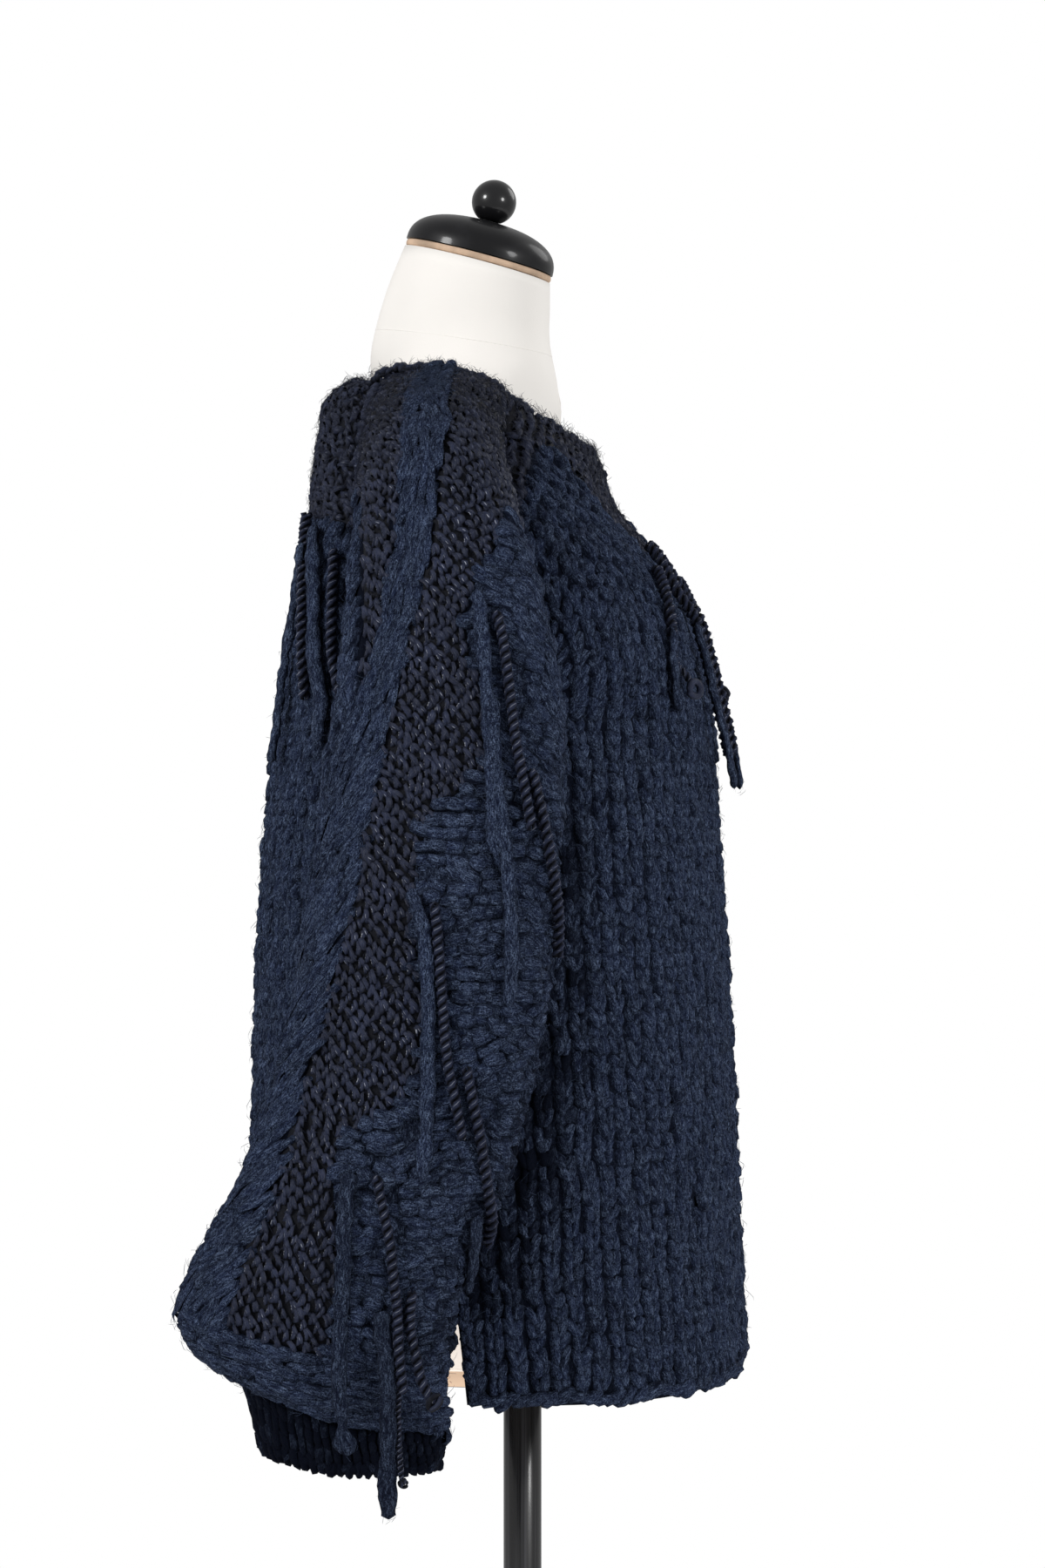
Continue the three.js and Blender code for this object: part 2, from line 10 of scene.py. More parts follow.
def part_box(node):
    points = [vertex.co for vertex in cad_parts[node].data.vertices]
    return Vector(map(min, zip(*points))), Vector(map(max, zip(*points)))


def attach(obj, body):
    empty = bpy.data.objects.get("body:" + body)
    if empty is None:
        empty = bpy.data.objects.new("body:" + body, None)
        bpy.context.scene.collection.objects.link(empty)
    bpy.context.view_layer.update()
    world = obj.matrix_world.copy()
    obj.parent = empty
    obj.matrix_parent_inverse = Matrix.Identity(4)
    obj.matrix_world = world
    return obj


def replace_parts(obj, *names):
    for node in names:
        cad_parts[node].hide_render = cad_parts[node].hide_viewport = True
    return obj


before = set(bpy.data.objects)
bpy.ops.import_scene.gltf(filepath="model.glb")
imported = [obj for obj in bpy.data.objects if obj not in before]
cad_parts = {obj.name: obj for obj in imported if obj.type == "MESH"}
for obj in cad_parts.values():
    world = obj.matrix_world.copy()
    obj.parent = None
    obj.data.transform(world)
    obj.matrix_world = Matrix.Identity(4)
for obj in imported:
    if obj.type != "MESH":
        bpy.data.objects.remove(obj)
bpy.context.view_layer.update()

bl_info = {
    "name": "Chunky knit sweater on a dress form",
    "version": (1, 0, 0),
    "blender": (4, 5, 0),
    "location": "3D View > Sidebar > Sweater",
    "description": "Knits a chunky raglan sweater with yarn tails round a dress form on its stand",
    "category": "Object",
}

# Lengths in the tables and in the knitting functions are millimetres. The front faces -Y and the
# wearer's right sleeve hangs at -X. Tables of heights are measured from the chest level.
MM = 0.001
SIDES = ("left", "right")
HEM_BELOW_CHEST = 381
CHEST = round(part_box("front_body")[0][2] / MM) + HEM_BELOW_CHEST
UNDERARM, SLEEVE_HEM, CUFF_SEAM = 1.0, 3.6, 4.1
YOKE_AT_SEAM = 0.5
SLIT_TOP, SLIT_HALF_WIDTH = -300, 9
MOSS_BACK_TIP, MOSS_BACK_FADE = 1.26, 1.52


def ramp(x, start, length):
    """0 at start, 1 from a length beyond it, either way, and even between."""
    return np.clip((x - start) / length, 0, 1)


def smooth_curve(keys, values):
    """A smooth curve through values at keys, with each slope from its two neighbours."""
    keys, values = np.asarray(keys, float), np.asarray(values, float)
    steps = np.diff(keys)
    slopes = np.diff(values) / steps
    inner = (slopes[:-1] * steps[1:] + slopes[1:] * steps[:-1]) / (steps[:-1] + steps[1:])
    tangents = np.concatenate([slopes[:1], inner, slopes[-1:]])

    def at(x):
        x = np.asarray(x, float)
        i = np.clip(np.searchsorted(keys, x, side="right") - 1, 0, len(steps) - 1)
        t = np.clip((x - keys[i]) / steps[i], 0, 1)
        u = 1 - t
        start = (1 + 2 * t) * u * u * values[i] + t * u * u * tangents[i] * steps[i]
        return start + t * t * (3 - 2 * t) * values[i + 1] - t * t * u * tangents[i + 1] * steps[i]

    return at


class Table:
    """Smooth functions of a table's first column, by column name."""

    def __init__(self, names, rows):
        columns = np.array(rows, float).T
        for name, column in zip(names.split()[1:], columns[1:]):
            setattr(self, name, smooth_curve(columns[0], column))


RING_COLUMNS = "ring out_x out_z in_x in_z mid_y front back front_lift back_lift"
SLEEVE = Table(RING_COLUMNS, [
    (0.0, 86, 269, 76, 228, 42, 47, 46, -7, -2),
    (0.25, 136, 256, 108, 170, 42, 46, 46, 0, 0),
    (0.5, 188, 236, 150, 114, 38, 52, 45, 0, 0),
    (0.75, 232, 200, 186, 72, 31, 60, 49, 0, 0),
    (1.0, 260, 146, 206, 44, 27, 71, 53, 0, 0),
    (1.35, 277, 86, 212, 10, 26, 80, 58, 0, 0),
    (1.7, 287, 20, 215, -26, 27, 82, 63, 0, 0),
    (2.0, 293, -45, 217, -64, 31, 84, 66, 0, 0),
    (2.3, 296, -108, 218, -112, 37, 85, 68, 0, 0),
    (2.6, 299, -168, 219, -168, 44, 84, 73, 0, 0),
    (2.85, 302, -214, 220, -212, 55, 84, 76, 0, 2),
    (3.1, 306, -256, 220, -252, 71, 87, 74, -2, 6),
    (3.35, 309, -296, 220, -290, 87, 84, 77, -6, 12),
    (3.6, 309, -338, 222, -332, 98, 86, 80, -12, 19),
    (3.85, 305, -366, 226, -363, 96, 83, 74, -9, 24),
    (4.1, 291, -384, 232, -390, 82, 68, 65, -7, 28),
])
CUFF = Table(RING_COLUMNS, [
    (0.0, 291, -384, 232, -390, 82, 68, 58, -7, 26),
    (0.5, 290, -399, 233, -402, 80, 65, 54, -3, 17),
    (1.0, 288, -415, 236, -413, 78, 61, 50, 1, 10),
])
SLEEVE_FULLNESS = 2.3
RAGLAN = Table("ring front back", [
    (0.0, 58, -60), (0.25, 82, -84), (0.5, 100, -100), (0.75, 126, -124), (1.0, 180, -180),
])
RIDGE = Table("ring front back", [
    (0.0, 9, -8), (0.57, 11, -13), (0.83, 4, -23), (1.16, -3, -31), (1.35, -9, -36),
    (1.65, -19, -48), (1.9, -27, -62), (2.15, -31, -76), (2.45, -41, -80), (2.95, -41, -84),
    (3.3, -37, -85), (3.6, -34, -85),
])
MOSS_FRONT_EDGE = Table("ring angle", [
    (0.5, 97), (0.6, 95), (0.72, 80), (0.85, 50), (1.0, 32), (1.16, 18), (1.33, 16), (1.78, 21),
    (1.84, 10), (1.97, 2), (2.15, 2), (2.67, 8), (2.76, 1), (2.82, -8), (2.97, -8), (3.28, 9),
    (3.48, 12), (3.6, 10),
])
MOSS_BACK_EDGE = Table("ring angle", [
    (0.5, -96), (0.63, -70), (0.83, -58), (1.09, -47), (1.3, -42),
])
BODY = Table("row front_y front_z back_y back_z bust", [
    (0.0, -47, 219, 112, 265, 0), (0.1, -51, 206, 126, 254, 2), (0.25, -57, 184, 131, 222, 3),
    (0.5, -86, 148, 133, 166, 3), (0.75, -110, 104, 141, 104, 3), (1.0, -122, 44, 153, 44, 2),
    (1.25, -127, -30, 162, -30, 0), (1.5, -133, -120, 168, -120, 0),
    (1.75, -139, -240, 171, -240, 0), (2.0, -145, -381, 174, -381, 0),
])
SIDE = Table("row half_width y", [
    (1.0, 206, 32), (1.25, 208, 30), (1.5, 210, 26), (1.75, 213, 21), (2.0, 217, 17),
])
BODY_FULLNESS = {"front": 2.7, "back": 2.6}
BUST_X, BUST_SPREAD = 95, 38
YOKE_EDGE = {
    "front": Table("across row", [
        (0.0, 0.47), (0.15, 0.42), (0.3, 0.32), (0.45, 0.22), (0.6, 0.17), (0.77, 0.2),
        (0.88, 0.33), (1.0, YOKE_AT_SEAM),
    ]),
    "back": Table("across row", [(0.0, 0.45), (0.5, 0.47), (1.0, YOKE_AT_SEAM)]),
}
FORM = Table("height half_width front_y back_y mid_y fullness", [
    (-377, 164, -112, 118, 8, 2.3), (-300, 168, -114, 124, 8, 2.3),
    (-220, 156, -100, 110, 8, 2.3), (-140, 128, -82, 94, 8, 2.2), (-60, 132, -88, 100, 8, 2.2),
    (20, 146, -100, 116, 12, 2.3), (90, 152, -88, 122, 20, 2.4), (150, 160, -50, 116, 32, 2.4),
    (190, 166, -33, 108, 38, 1.9), (214, 166, -28, 103, 41, 1.5), (230, 160, -26, 101, 42, 1.2),
    (240, 146, -25, 101, 42, 1.15), (248, 124, -26, 100, 42, 1.15), (256, 96, -24, 100, 42, 1.3),
    (264, 74, -23, 100, 42, 1.6), (274, 60, -21, 101, 41, 1.9), (290, 52, -18, 100, 41, 2.0),
    (320, 47, -18, 90, 36, 2.0), (343, 45, -18, 78, 30, 2.0),
])
NECK_START, NECK_TOP, NECK_TILT = 300, 343, math.radians(15)
FORM_AGED, FORM_BARE = -345, -367


# --- Surfaces ---

def rounded(angle, fullness):
    """Cosine and sine of a superellipse: 2 is an ellipse, and more is squarer."""
    c, s = np.cos(angle), np.sin(angle)
    return np.sign(c) * np.abs(c) ** (2 / fullness), np.sign(s) * np.abs(s) ** (2 / fullness)


def ring_point(rings, at, degrees):
    """A point on the wearer's left (+X) sleeve or cuff."""
    out, forward = rounded(np.radians(degrees), SLEEVE_FULLNESS)
    ahead = forward > 0
    reach = np.where(ahead, -rings.front(at), -rings.back(at)) * forward
    lift = np.where(ahead, rings.front_lift(at), -rings.back_lift(at)) * forward
    x = (rings.in_x(at) + rings.out_x(at)) / 2 + (rings.out_x(at) - rings.in_x(at)) / 2 * out
    z = (rings.in_z(at) + rings.out_z(at)) / 2 + (rings.out_z(at) - rings.in_z(at)) / 2 * out
    return np.stack([x, rings.mid_y(at) + reach, CHEST + z + lift], -1)


def side_seam(face, row):
    """Where a body row ends: on the raglan seam, or below the underarm on the side seam."""
    ring = np.clip(row, 0, 1)
    raglan = ring_point(SLEEVE, ring, getattr(RAGLAN, face)(ring))
    height = BODY.front_z(row)
    down = ramp(height, SLIT_TOP, -SLIT_TOP - HEM_BELOW_CHEST)
    slit = SLIT_HALF_WIDTH * down ** 0.7 * (-1 if face == "front" else 1)
    side = np.stack([SIDE.half_width(row), SIDE.y(row) + slit, CHEST + height], -1)
    return np.where((row <= UNDERARM)[..., None], raglan, side)


def body_point(face, row, across):
    """A point of the front or the back. across runs from -1 (right seam) to 1 (left seam)."""
    row, across = np.broadcast_arrays(np.asarray(row, float), np.asarray(across, float))
    centre_y = getattr(BODY, face + "_y")(row)
    centre_z = getattr(BODY, face + "_z")(row)
    seam = side_seam(face, row)
    square = np.maximum(0, 1 - row) ** 2
    fullness = BODY_FULLNESS[face] * (1 - square) + 2 * square
    out, forward = rounded((1 - np.abs(across)) * math.pi / 2, fullness)
    x = seam[..., 0] * out
    bust = BODY.bust(row) * np.exp(-((x - BUST_X) / BUST_SPREAD) ** 2) if face == "front" else 0
    y = seam[..., 1] + (centre_y - seam[..., 1]) * forward - bust * np.minimum(1, forward * 1.2)
    rise = 1 - np.abs(across) ** 1.6
    z = seam[..., 2] + (CHEST + centre_z - seam[..., 2]) * rise
    return np.stack([np.sign(across) * x, y, z], -1)


def unit(v):
    return v / np.maximum(np.linalg.norm(v, axis=-1, keepdims=True), 1e-12)


def dot(a, b):
    return (a * b).sum(-1, keepdims=True)


def square_to(v, n):
    """The part of v that is square to n, at unit length."""
    return unit(v - dot(v, n) * n)


class Surface:
    """A smooth sheet over (along, across), with its outward direction."""

    def __init__(self, point, step_along, step_across, sign, limits=None, mirror=False):
        self.raw, self.steps, self.sign = point, (step_along, step_across), sign
        self.limits = limits
        self.flip = np.array([-1.0 if mirror else 1.0, 1.0, 1.0])

    def point(self, along, across):
        return self.raw(np.asarray(along, float), np.asarray(across, float)) * self.flip

    def frame(self, along, across):
        """Directions along, across and outward, mirrored with the surface."""
        along, across = np.asarray(along, float), np.asarray(across, float)
        step, reach = self.steps
        low, high = across - reach, across + reach
        if self.limits:
            along = np.clip(along, *self.limits)
            low, high = np.maximum(low, -1), np.minimum(high, 1)
        d_along = self.raw(along + step, across) - self.raw(along - step, across)
        d_across = self.raw(along, high) - self.raw(along, low)
        out = unit(np.cross(d_along, d_across)) * self.sign
        return unit(d_along) * self.flip, unit(d_across) * self.flip, out * self.flip

    def sunk(self, along, across, depth):
        return self.point(along, across) - self.frame(along, across)[2] * depth


def ring_surface(rings, step, side):
    return Surface(lambda a, b: ring_point(rings, a, b), step, 1.5, -1, mirror=side == "right")


def sleeve_surface(side):
    return ring_surface(SLEEVE, 0.02, side)


def body_surface(face):
    sign = 1 if face == "front" else -1
    return Surface(lambda a, b: body_point(face, a, b), 0.02, 0.02, sign, limits=(0.02, 1.98))


# --- Lines ---

def distances(points):
    """How far along a line each of its points is."""
    return np.concatenate([[0], np.cumsum(np.linalg.norm(np.diff(points, axis=0), axis=1))])


def sample(s, keys, values):
    """Rows of values read at s, between their keys."""
    return np.stack([np.interp(s, keys, column) for column in values.T], -1)


def line_frame(line, normals):
    """The outward and sideways directions along a line."""
    ahead = unit(np.gradient(line, axis=0))
    out = square_to(normals, ahead)
    return out, np.cross(ahead, out)


def wander(points, wavelength, seed):
    """A smooth random field at points, about -1 to 1, that varies over a wavelength."""
    rng = np.random.default_rng(seed)
    ways = unit(rng.normal(0, 1, (9, 3))) * rng.uniform(0.6, 1.5, (9, 1))
    phase = rng.uniform(0, 2 * math.pi, 9)
    return np.sin(points @ ways.T * (2 * math.pi / wavelength) + phase).sum(-1) / 3


def lumps(points, scale, seed):
    """Slow random unevenness at points, about -1 to 1, in lumps about a scale wide."""
    return wander(points, scale * 1.6, seed)


# --- Meshes ---

def arrays_of(bm):
    """A bmesh's points, face corners and face sizes as arrays."""
    bm.verts.index_update()
    points = np.array([v.co for v in bm.verts])
    corners = np.array([v.index for f in bm.faces for v in f.verts])
    return points, corners, np.array([len(f.verts) for f in bm.faces])


def grid(columns, rows):
    """A flat bmesh grid, and how far across and up it each point is, from 0 to 1."""
    bm = bmesh.new()
    bmesh.ops.create_grid(bm, x_segments=columns, y_segments=rows, size=0.5)
    u, v = np.array([vert.co[:2] for vert in bm.verts]).T + 0.5
    return bm, u, v


def bead(segments, rings, fullness=0.7, bend=0.0, whole=False, ends=0.4):
    """A plump length of strand along Y, one unit long and wide, bowed outward by bend. It is
    only the outer half, with its rim turned down, unless it is whole. The last of its arrays is
    its painted crest light: how far each point stands out of the cloth, which falls by ends
    towards the tips, so that the finishes paint its sides and tips darker, as shade."""
    bm = bmesh.new()
    bmesh.ops.create_uvsphere(bm, u_segments=segments, v_segments=rings, radius=0.5)
    bmesh.ops.rotate(bm, verts=bm.verts, matrix=Matrix.Rotation(-math.pi / 2, 3, "X"))
    if not whole:
        inner = [v for v in bm.verts if v.co.z < -0.01]
        bmesh.ops.delete(bm, geom=inner, context="VERTS")
    # Painted crest light: full where the strand stands out, painted shade at its sides and tips.
    painted_crest_light = []
    for v in bm.verts:
        rim = not whole and v.co.z < 0.01
        width = math.hypot(v.co.x, v.co.z) * 2
        side = 0.4
        if width > 1e-6:
            side = max(0.0, v.co.z * 2 / width)
            v.co.x *= width ** fullness / width
            v.co.z *= width ** fullness / width
        painted_crest_light.append(side * (1 - ends * (1 - width)))
        v.co.z += bend * (1 - (2 * v.co.y) ** 2) - (0.22 if rim else 0)
    arrays = arrays_of(bm)
    bm.free()
    return *arrays, np.array(painted_crest_light)


def set_all(items, key, values, kind=np.float32):
    items.foreach_set(key, np.ravel(values).astype(kind))


class Batch:
    """Points, faces, yarn coordinates and painted crest light gathered for one piece."""

    def __init__(self):
        self.parts, self.count = [], 0

    def add(self, points, corners, sizes, yarn, painted_crest_light):
        self.parts.append((points, corners + self.count, sizes, yarn, painted_crest_light))
        self.count += len(points)

    def beads(self, shape, centre, axes, size, tone):
        """One bead at each centre. axes are its right, along and outward directions."""
        points, corners, sizes, painted_crest_light = shape
        n, k = len(centre), len(points)
        scaled = points[None] * size[:, None]
        placed = centre[:, None]
        for i, axis in enumerate(axes):
            placed = placed + scaled[..., i:i + 1] * axis[:, None]
        around = np.arctan2(points[:, 0], points[:, 2])[None] * size[:, :1] / 2
        yarn = np.stack([scaled[..., 1], around, np.broadcast_to(tone[:, None], (n, k))], -1)
        shift = (np.arange(n) * k)[:, None]
        self.add(placed.reshape(-1, 3), (corners[None] + shift).ravel(), np.tile(sizes, n),
                 yarn.reshape(-1, 3), np.tile(painted_crest_light, n))

    def sweep(self, centres, normals, widths, thicknesses, sides, tone, marks=None, base=0.35):
        """A tube along centres, widths across and thicknesses outward, closed to its ends. Its last
        argument is how much painted light its sides keep against its top, to 1; short of that they
        are painted darker, as shade."""
        out, right = line_frame(centres, normals)
        if marks is None:
            marks = distances(centres)
        last = len(centres) - 1
        bm = grid(sides, last)[0]
        layer = bm.verts.layers.float_vector.new("yarn")
        height = bm.verts.layers.float.new("painted_crest_light")
        for v in bm.verts:
            i = int(round((v.co.y + 0.5) * last))
            angle = v.co.x * 2 * math.pi
            v[layer] = (marks[i], v.co.x * math.pi * widths[i], tone)
            # Painted crest light: full on top, painted shade towards the sides.
            v[height] = max(0.0, base + (1 - base) * math.cos(angle))
            v.co = (centres[i] + right[i] * widths[i] / 2 * math.sin(angle)
                    + out[i] * thicknesses[i] / 2 * math.cos(angle))
        bmesh.ops.remove_doubles(bm, verts=bm.verts, dist=0.01)
        yarn = np.array([v[layer] for v in bm.verts])
        painted_crest_light = np.array([v[height] for v in bm.verts])
        self.add(*arrays_of(bm), yarn, painted_crest_light)
        bm.free()

    def piece(self, name, slot, felt=0.0):
        """The gathered meshes as one piece, made uneven by felt."""
        points, corners, sizes, yarn, painted_crest_light = map(np.concatenate, zip(*self.parts))
        for wavelength, share in ((6.5, 1.0), (17.0, 1.3)) if felt else ():
            drift = [wander(points, wavelength, seed) for seed in (5, 6, 7)]
            points = points + np.stack(drift, -1) * felt * share
        mesh = bpy.data.meshes.new(name)
        mesh.vertices.add(len(points))
        mesh.loops.add(len(corners))
        mesh.polygons.add(len(sizes))
        set_all(mesh.vertices, "co", points * MM)
        set_all(mesh.loops, "vertex_index", corners, np.int32)
        set_all(mesh.polygons, "loop_start", np.cumsum(sizes) - sizes, np.int32)
        set_all(mesh.polygons, "loop_total", sizes, np.int32)
        layer = mesh.attributes.new("yarn", "FLOAT_VECTOR", "POINT")
        set_all(layer.data, "vector", yarn * (MM, MM, 1))
        # Painted crest light, which the finishes turn into painted shade at the sides of strands.
        set_all(mesh.attributes.new("painted_crest_light", "FLOAT", "POINT").data, "value", painted_crest_light)
        mesh.update(calc_edges=True)
        mesh.validate()
        return finished(name, mesh, slot)


def finished(name, mesh, slot):
    """Links a mesh as a piece that rides with the object and takes its slot's finish."""
    mesh.shade_smooth()
    piece = bpy.data.objects.new(name, mesh)
    bpy.context.scene.collection.objects.link(piece)
    piece.data.materials.append(finish(slot))
    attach(piece, "root")
    return piece


def mesh_from(bm, name):
    mesh = bpy.data.meshes.new(name)
    bm.to_mesh(mesh)
    bm.free()
    return mesh


def shell(name, surface, divisions, place, depth, thickness, slot, painted_ground_light=0.0):
    """The knit's ground: a sheet sunk below a surface, with a wall of its own. place() turns
    u and v from 0 to 1 into the surface's (along, across). The last argument is how much painted
    light it keeps, to 1; short of that it is painted dark, as the shade in the gaps between
    stitches."""
    bm, u, v = grid(*divisions)
    layer = bm.verts.layers.float_vector.new("yarn")
    painted_crest_light = bm.verts.layers.float.new("painted_crest_light")
    along, across = place(u, v)
    out = surface.frame(along, across)[2]
    for vert, p in zip(bm.verts, surface.sunk(along, across, depth) * MM):
        # Painted shade: a negative tone and low crest light darken the ground between the stitches.
        vert[layer] = (p[2], p[0] + p[1], -0.75 * (1 - painted_ground_light))
        vert[painted_crest_light] = painted_ground_light
        vert.co = p
    bm.normal_update()
    facing = sum(Vector(out[f.verts[0].index]).dot(f.normal) for f in bm.faces)
    bmesh.ops.remove_doubles(bm, verts=bm.verts, dist=1e-6)
    if facing < 0:
        bmesh.ops.reverse_faces(bm, faces=bm.faces)
    piece = finished(name, mesh_from(bm, name), slot)
    wall = piece.modifiers.new("wall", "SOLIDIFY")
    wall.thickness, wall.offset = thickness * MM, -1
    return piece


# --- Laying out stitches ---

# A stocking stitch's legs: their lean, their depth and plumpness in millimetres, and their
# width, length and spacing as shares of the stitch.
LEG_LEAN, LEG_DEPTH, LEG_PLUMPNESS = 0.27, 3.9, 8.6
LEG_WIDTH, LEG_LENGTH, LEG_SPACING = 0.57, 1.75, 0.195
MOSS_DEPTH, MOSS_PLY = 3.7, (3.9, 9.0, 6.8)


class Field:
    """Where stitches go on a surface: their centres, directions and local spacing."""

    def __init__(self, surface, rows, places, row_pitch, upward):
        gap = np.gradient(rows) if len(rows) > 1 else np.array([0.05])
        counts = [len(place) for place in places]
        self.row = np.repeat(np.arange(len(rows)), counts)
        self.along, self.across = np.repeat(rows, counts), np.concatenate(places)
        step = gap[self.row] / 2
        self.centre = surface.point(self.along, self.across)
        ahead = surface.point(self.along + step, self.across)
        behind = surface.point(self.along - step, self.across)
        stretch = np.linalg.norm(ahead - behind, axis=1) / row_pitch
        one = np.ones(len(stretch))
        self.widen, self.stretch = (stretch, one) if upward == "across" else (one, stretch)
        d_along, d_across, self.out = surface.frame(self.along, self.across)
        up = {"back": -d_along, "across": d_across}[upward]
        self.up = square_to(up, self.out)
        self.right = np.cross(self.up, self.out)

    def keep(self, mask):
        for name, values in vars(self).items():
            setattr(self, name, values[mask])

    def axes(self):
        return self.right, self.up, self.out


def rows_by_length(surface, start, end, middle, pitch):
    """Row parameters from start to end, evenly spaced by pitch along the middle line."""
    t = np.linspace(start, end, 600)
    length = distances(surface.point(t, middle(t)))
    count = max(1, int(round(length[-1] / pitch)))
    return np.interp((np.arange(count) + 0.5) * length[-1] / count, length, t)


def lay_out(surface, span, middle, row_pitch, edges, pitch, anchor, upward="back", stagger=0.0,
            margin=0.25):
    """Rows of stitches over a span, row_pitch apart along the middle line and pitch apart within
    the edges, counted from an anchor line. upward is the way the stitches point."""
    rows = rows_by_length(surface, *span, middle, row_pitch)
    places = []
    for i, row in enumerate(rows):
        c = np.linspace(*(float(edge(row)) for edge in edges), 240)
        arc = distances(surface.point(np.full(240, row), c))
        start = np.interp(anchor, c, arc)
        shift = (stagger * i) % 1 * pitch + 0.5 * pitch
        first, last = math.floor((-start - shift) / pitch), math.ceil((arc[-1] - start) / pitch)
        s = start + np.arange(first, last + 1) * pitch + shift
        inside = (s > margin * pitch) & (s < arc[-1] - margin * pitch)
        places.append(np.interp(s[inside], arc, c))
    return Field(surface, rows, places, row_pitch, upward)


def moss_field(surface, span, middle, edges, pitch):
    """Staggered bumps, pitch apart along both diagonals."""
    return lay_out(surface, span, middle, pitch / math.sqrt(2), edges, pitch * math.sqrt(2), 0.0,
                   stagger=0.5)


def thin(field):
    """Drops every second row of a moss field, or three in four, where its rows crowd together."""
    near = (field.stretch > 0.62) | (field.row % 2 == 0)
    field.keep(near & ((field.stretch > 0.3) | (field.row % 4 == 0)))


def spun(a, b, angle):
    """Two directions turned in their plane, a towards b."""
    c, s = np.cos(angle)[:, None], np.sin(angle)[:, None]
    return a * c + b * s, b * c - a * s


def turned(axes, lean, pitch, roll):
    """Directions, turned by lean in the cloth, pitch up out of it and roll sideways."""
    right, up, out = axes
    right, up = spun(right, up, lean)
    up, out = spun(up, out, pitch)
    right, out = spun(right, out, roll)
    return right, up, out


def stockinette(batch, field, wale, course, rng, shade=0.0):
    """Two legs for each stitch, leaning apart upwards, with the lower ends standing proud."""
    n = len(field.row)
    shape = bead(8, 4, fullness=0.6, bend=0.06)
    rise = lumps(field.centre, 18, 3) * 0.9
    sway = lumps(field.centre, 26, 9) * 0.7
    whole = rng.normal(0, 1, (n, 4))
    for side in (-1, 1):
        jitter = rng.normal(0, 1, (n, 6))
        leaning = -side * (LEG_LEAN + jitter[:, 0] * 0.14) + whole[:, 0] * 0.08
        axes = turned(field.axes(), leaning, -0.15 + jitter[:, 1] * 0.07,
                      side * 0.2 + jitter[:, 2] * 0.10)
        apart = side * (LEG_SPACING * wale * field.widen + jitter[:, 3] * 0.4)
        offset = apart + whole[:, 1] * 0.35 + sway
        sink = -LEG_DEPTH + rise + jitter[:, 4] * 0.4 + whole[:, 2] * 0.35
        drop = (jitter[:, 5] * 0.6 + whole[:, 3] * 0.6) * course / 8.4
        centre = (field.centre + field.right * offset[:, None] + field.out * sink[:, None]
                  + field.up * drop[:, None])
        spread = 1 + rng.normal(0, 0.11, (n, 3))
        size = np.stack([LEG_WIDTH * wale * field.widen, LEG_LENGTH * course * field.stretch,
                         np.full(n, LEG_PLUMPNESS)], -1) * spread
        batch.beads(shape, centre, axes, size, rng.random(n) - shade)


def moss(batch, field, rng, uneven=1.0, small=1.0, glint_scale=1.0, shade=0.0):
    """Two curled plies for each raised stitch of the cord. small scales their size, the tone scale
    sets how many of them get a painted glint, and shade is how far each is in the dark."""
    n = len(field.row)
    points, corners, sizes, painted_crest_light = bead(6, 4, fullness=0.7, bend=0.1, ends=0.8)
    rise = lumps(field.centre, 14, 4) * 0.6
    turn = 0.45 + rng.normal(0, 0.22, n) * uneven
    shift = rng.normal(0, 1, (n, 3)) * (0.45, 0.5, 0.5) * uneven
    scale = (1 + rng.normal(0, 0.10, n)) * small
    for ply, curl in ((-1, 0.55), (1, 0.25)):
        bowed = points.copy()
        bowed[:, 0] += curl * (1 - (2 * points[:, 1]) ** 2)
        lean = turn + ply * 0.16 + rng.normal(0, 0.09, n)
        axes = turned(field.axes(), lean, rng.normal(0.1 * ply, 0.14, n),
                      rng.normal(ply * 0.25, 0.2, n))
        along = ply * 0.9 + rng.normal(0, 0.4, n) + shift[:, 1]
        away = ply * 1.45 * scale + shift[:, 0]
        sink = shift[:, 2] + rise - MOSS_DEPTH + rng.normal(0, 0.3, n)
        centre = (field.centre + field.right * away[:, None] + field.up * along[:, None]
                  + field.out * sink[:, None])
        spread = (1 + rng.normal(0, 0.09, (n, 3))) * scale[:, None]
        # Tones over 0.66 get a painted glint in the cord's finish, and negative tones painted
        # shade.
        batch.beads((bowed, corners, sizes, painted_crest_light), centre, axes, spread * MOSS_PLY,
                    rng.random(n) * glint_scale - shade)


def felted_band(batch, field, rng, lean, size, depth=3.9, drift=(1.0, 3.0, 0.6), shade=0.0,
                facets=(6, 4), uneven=1.0):
    """Flat slanting strokes of roving, felted into one band and shifted by drift."""
    n = len(field.row)
    rise = lumps(field.centre, 17, 8) * 1.1
    axes = turned(field.axes(), lean + rng.normal(0, 0.13 * uneven, n),
                  rng.normal(-0.03, 0.03 * uneven, n), rng.normal(0, 0.15 * uneven, n))
    shift = rng.normal(0, 1, (n, 3)) * drift
    centre = (field.centre + field.right * shift[:, :1] + field.up * shift[:, 1:2]
              + field.out * (shift[:, 2:] + rise[:, None] - depth))
    spread = 1 + rng.normal(0, 0.14, (n, 3))
    batch.beads(bead(*facets, fullness=0.6, bend=0.02), centre, axes, spread * size,
                rng.random(n) - shade)


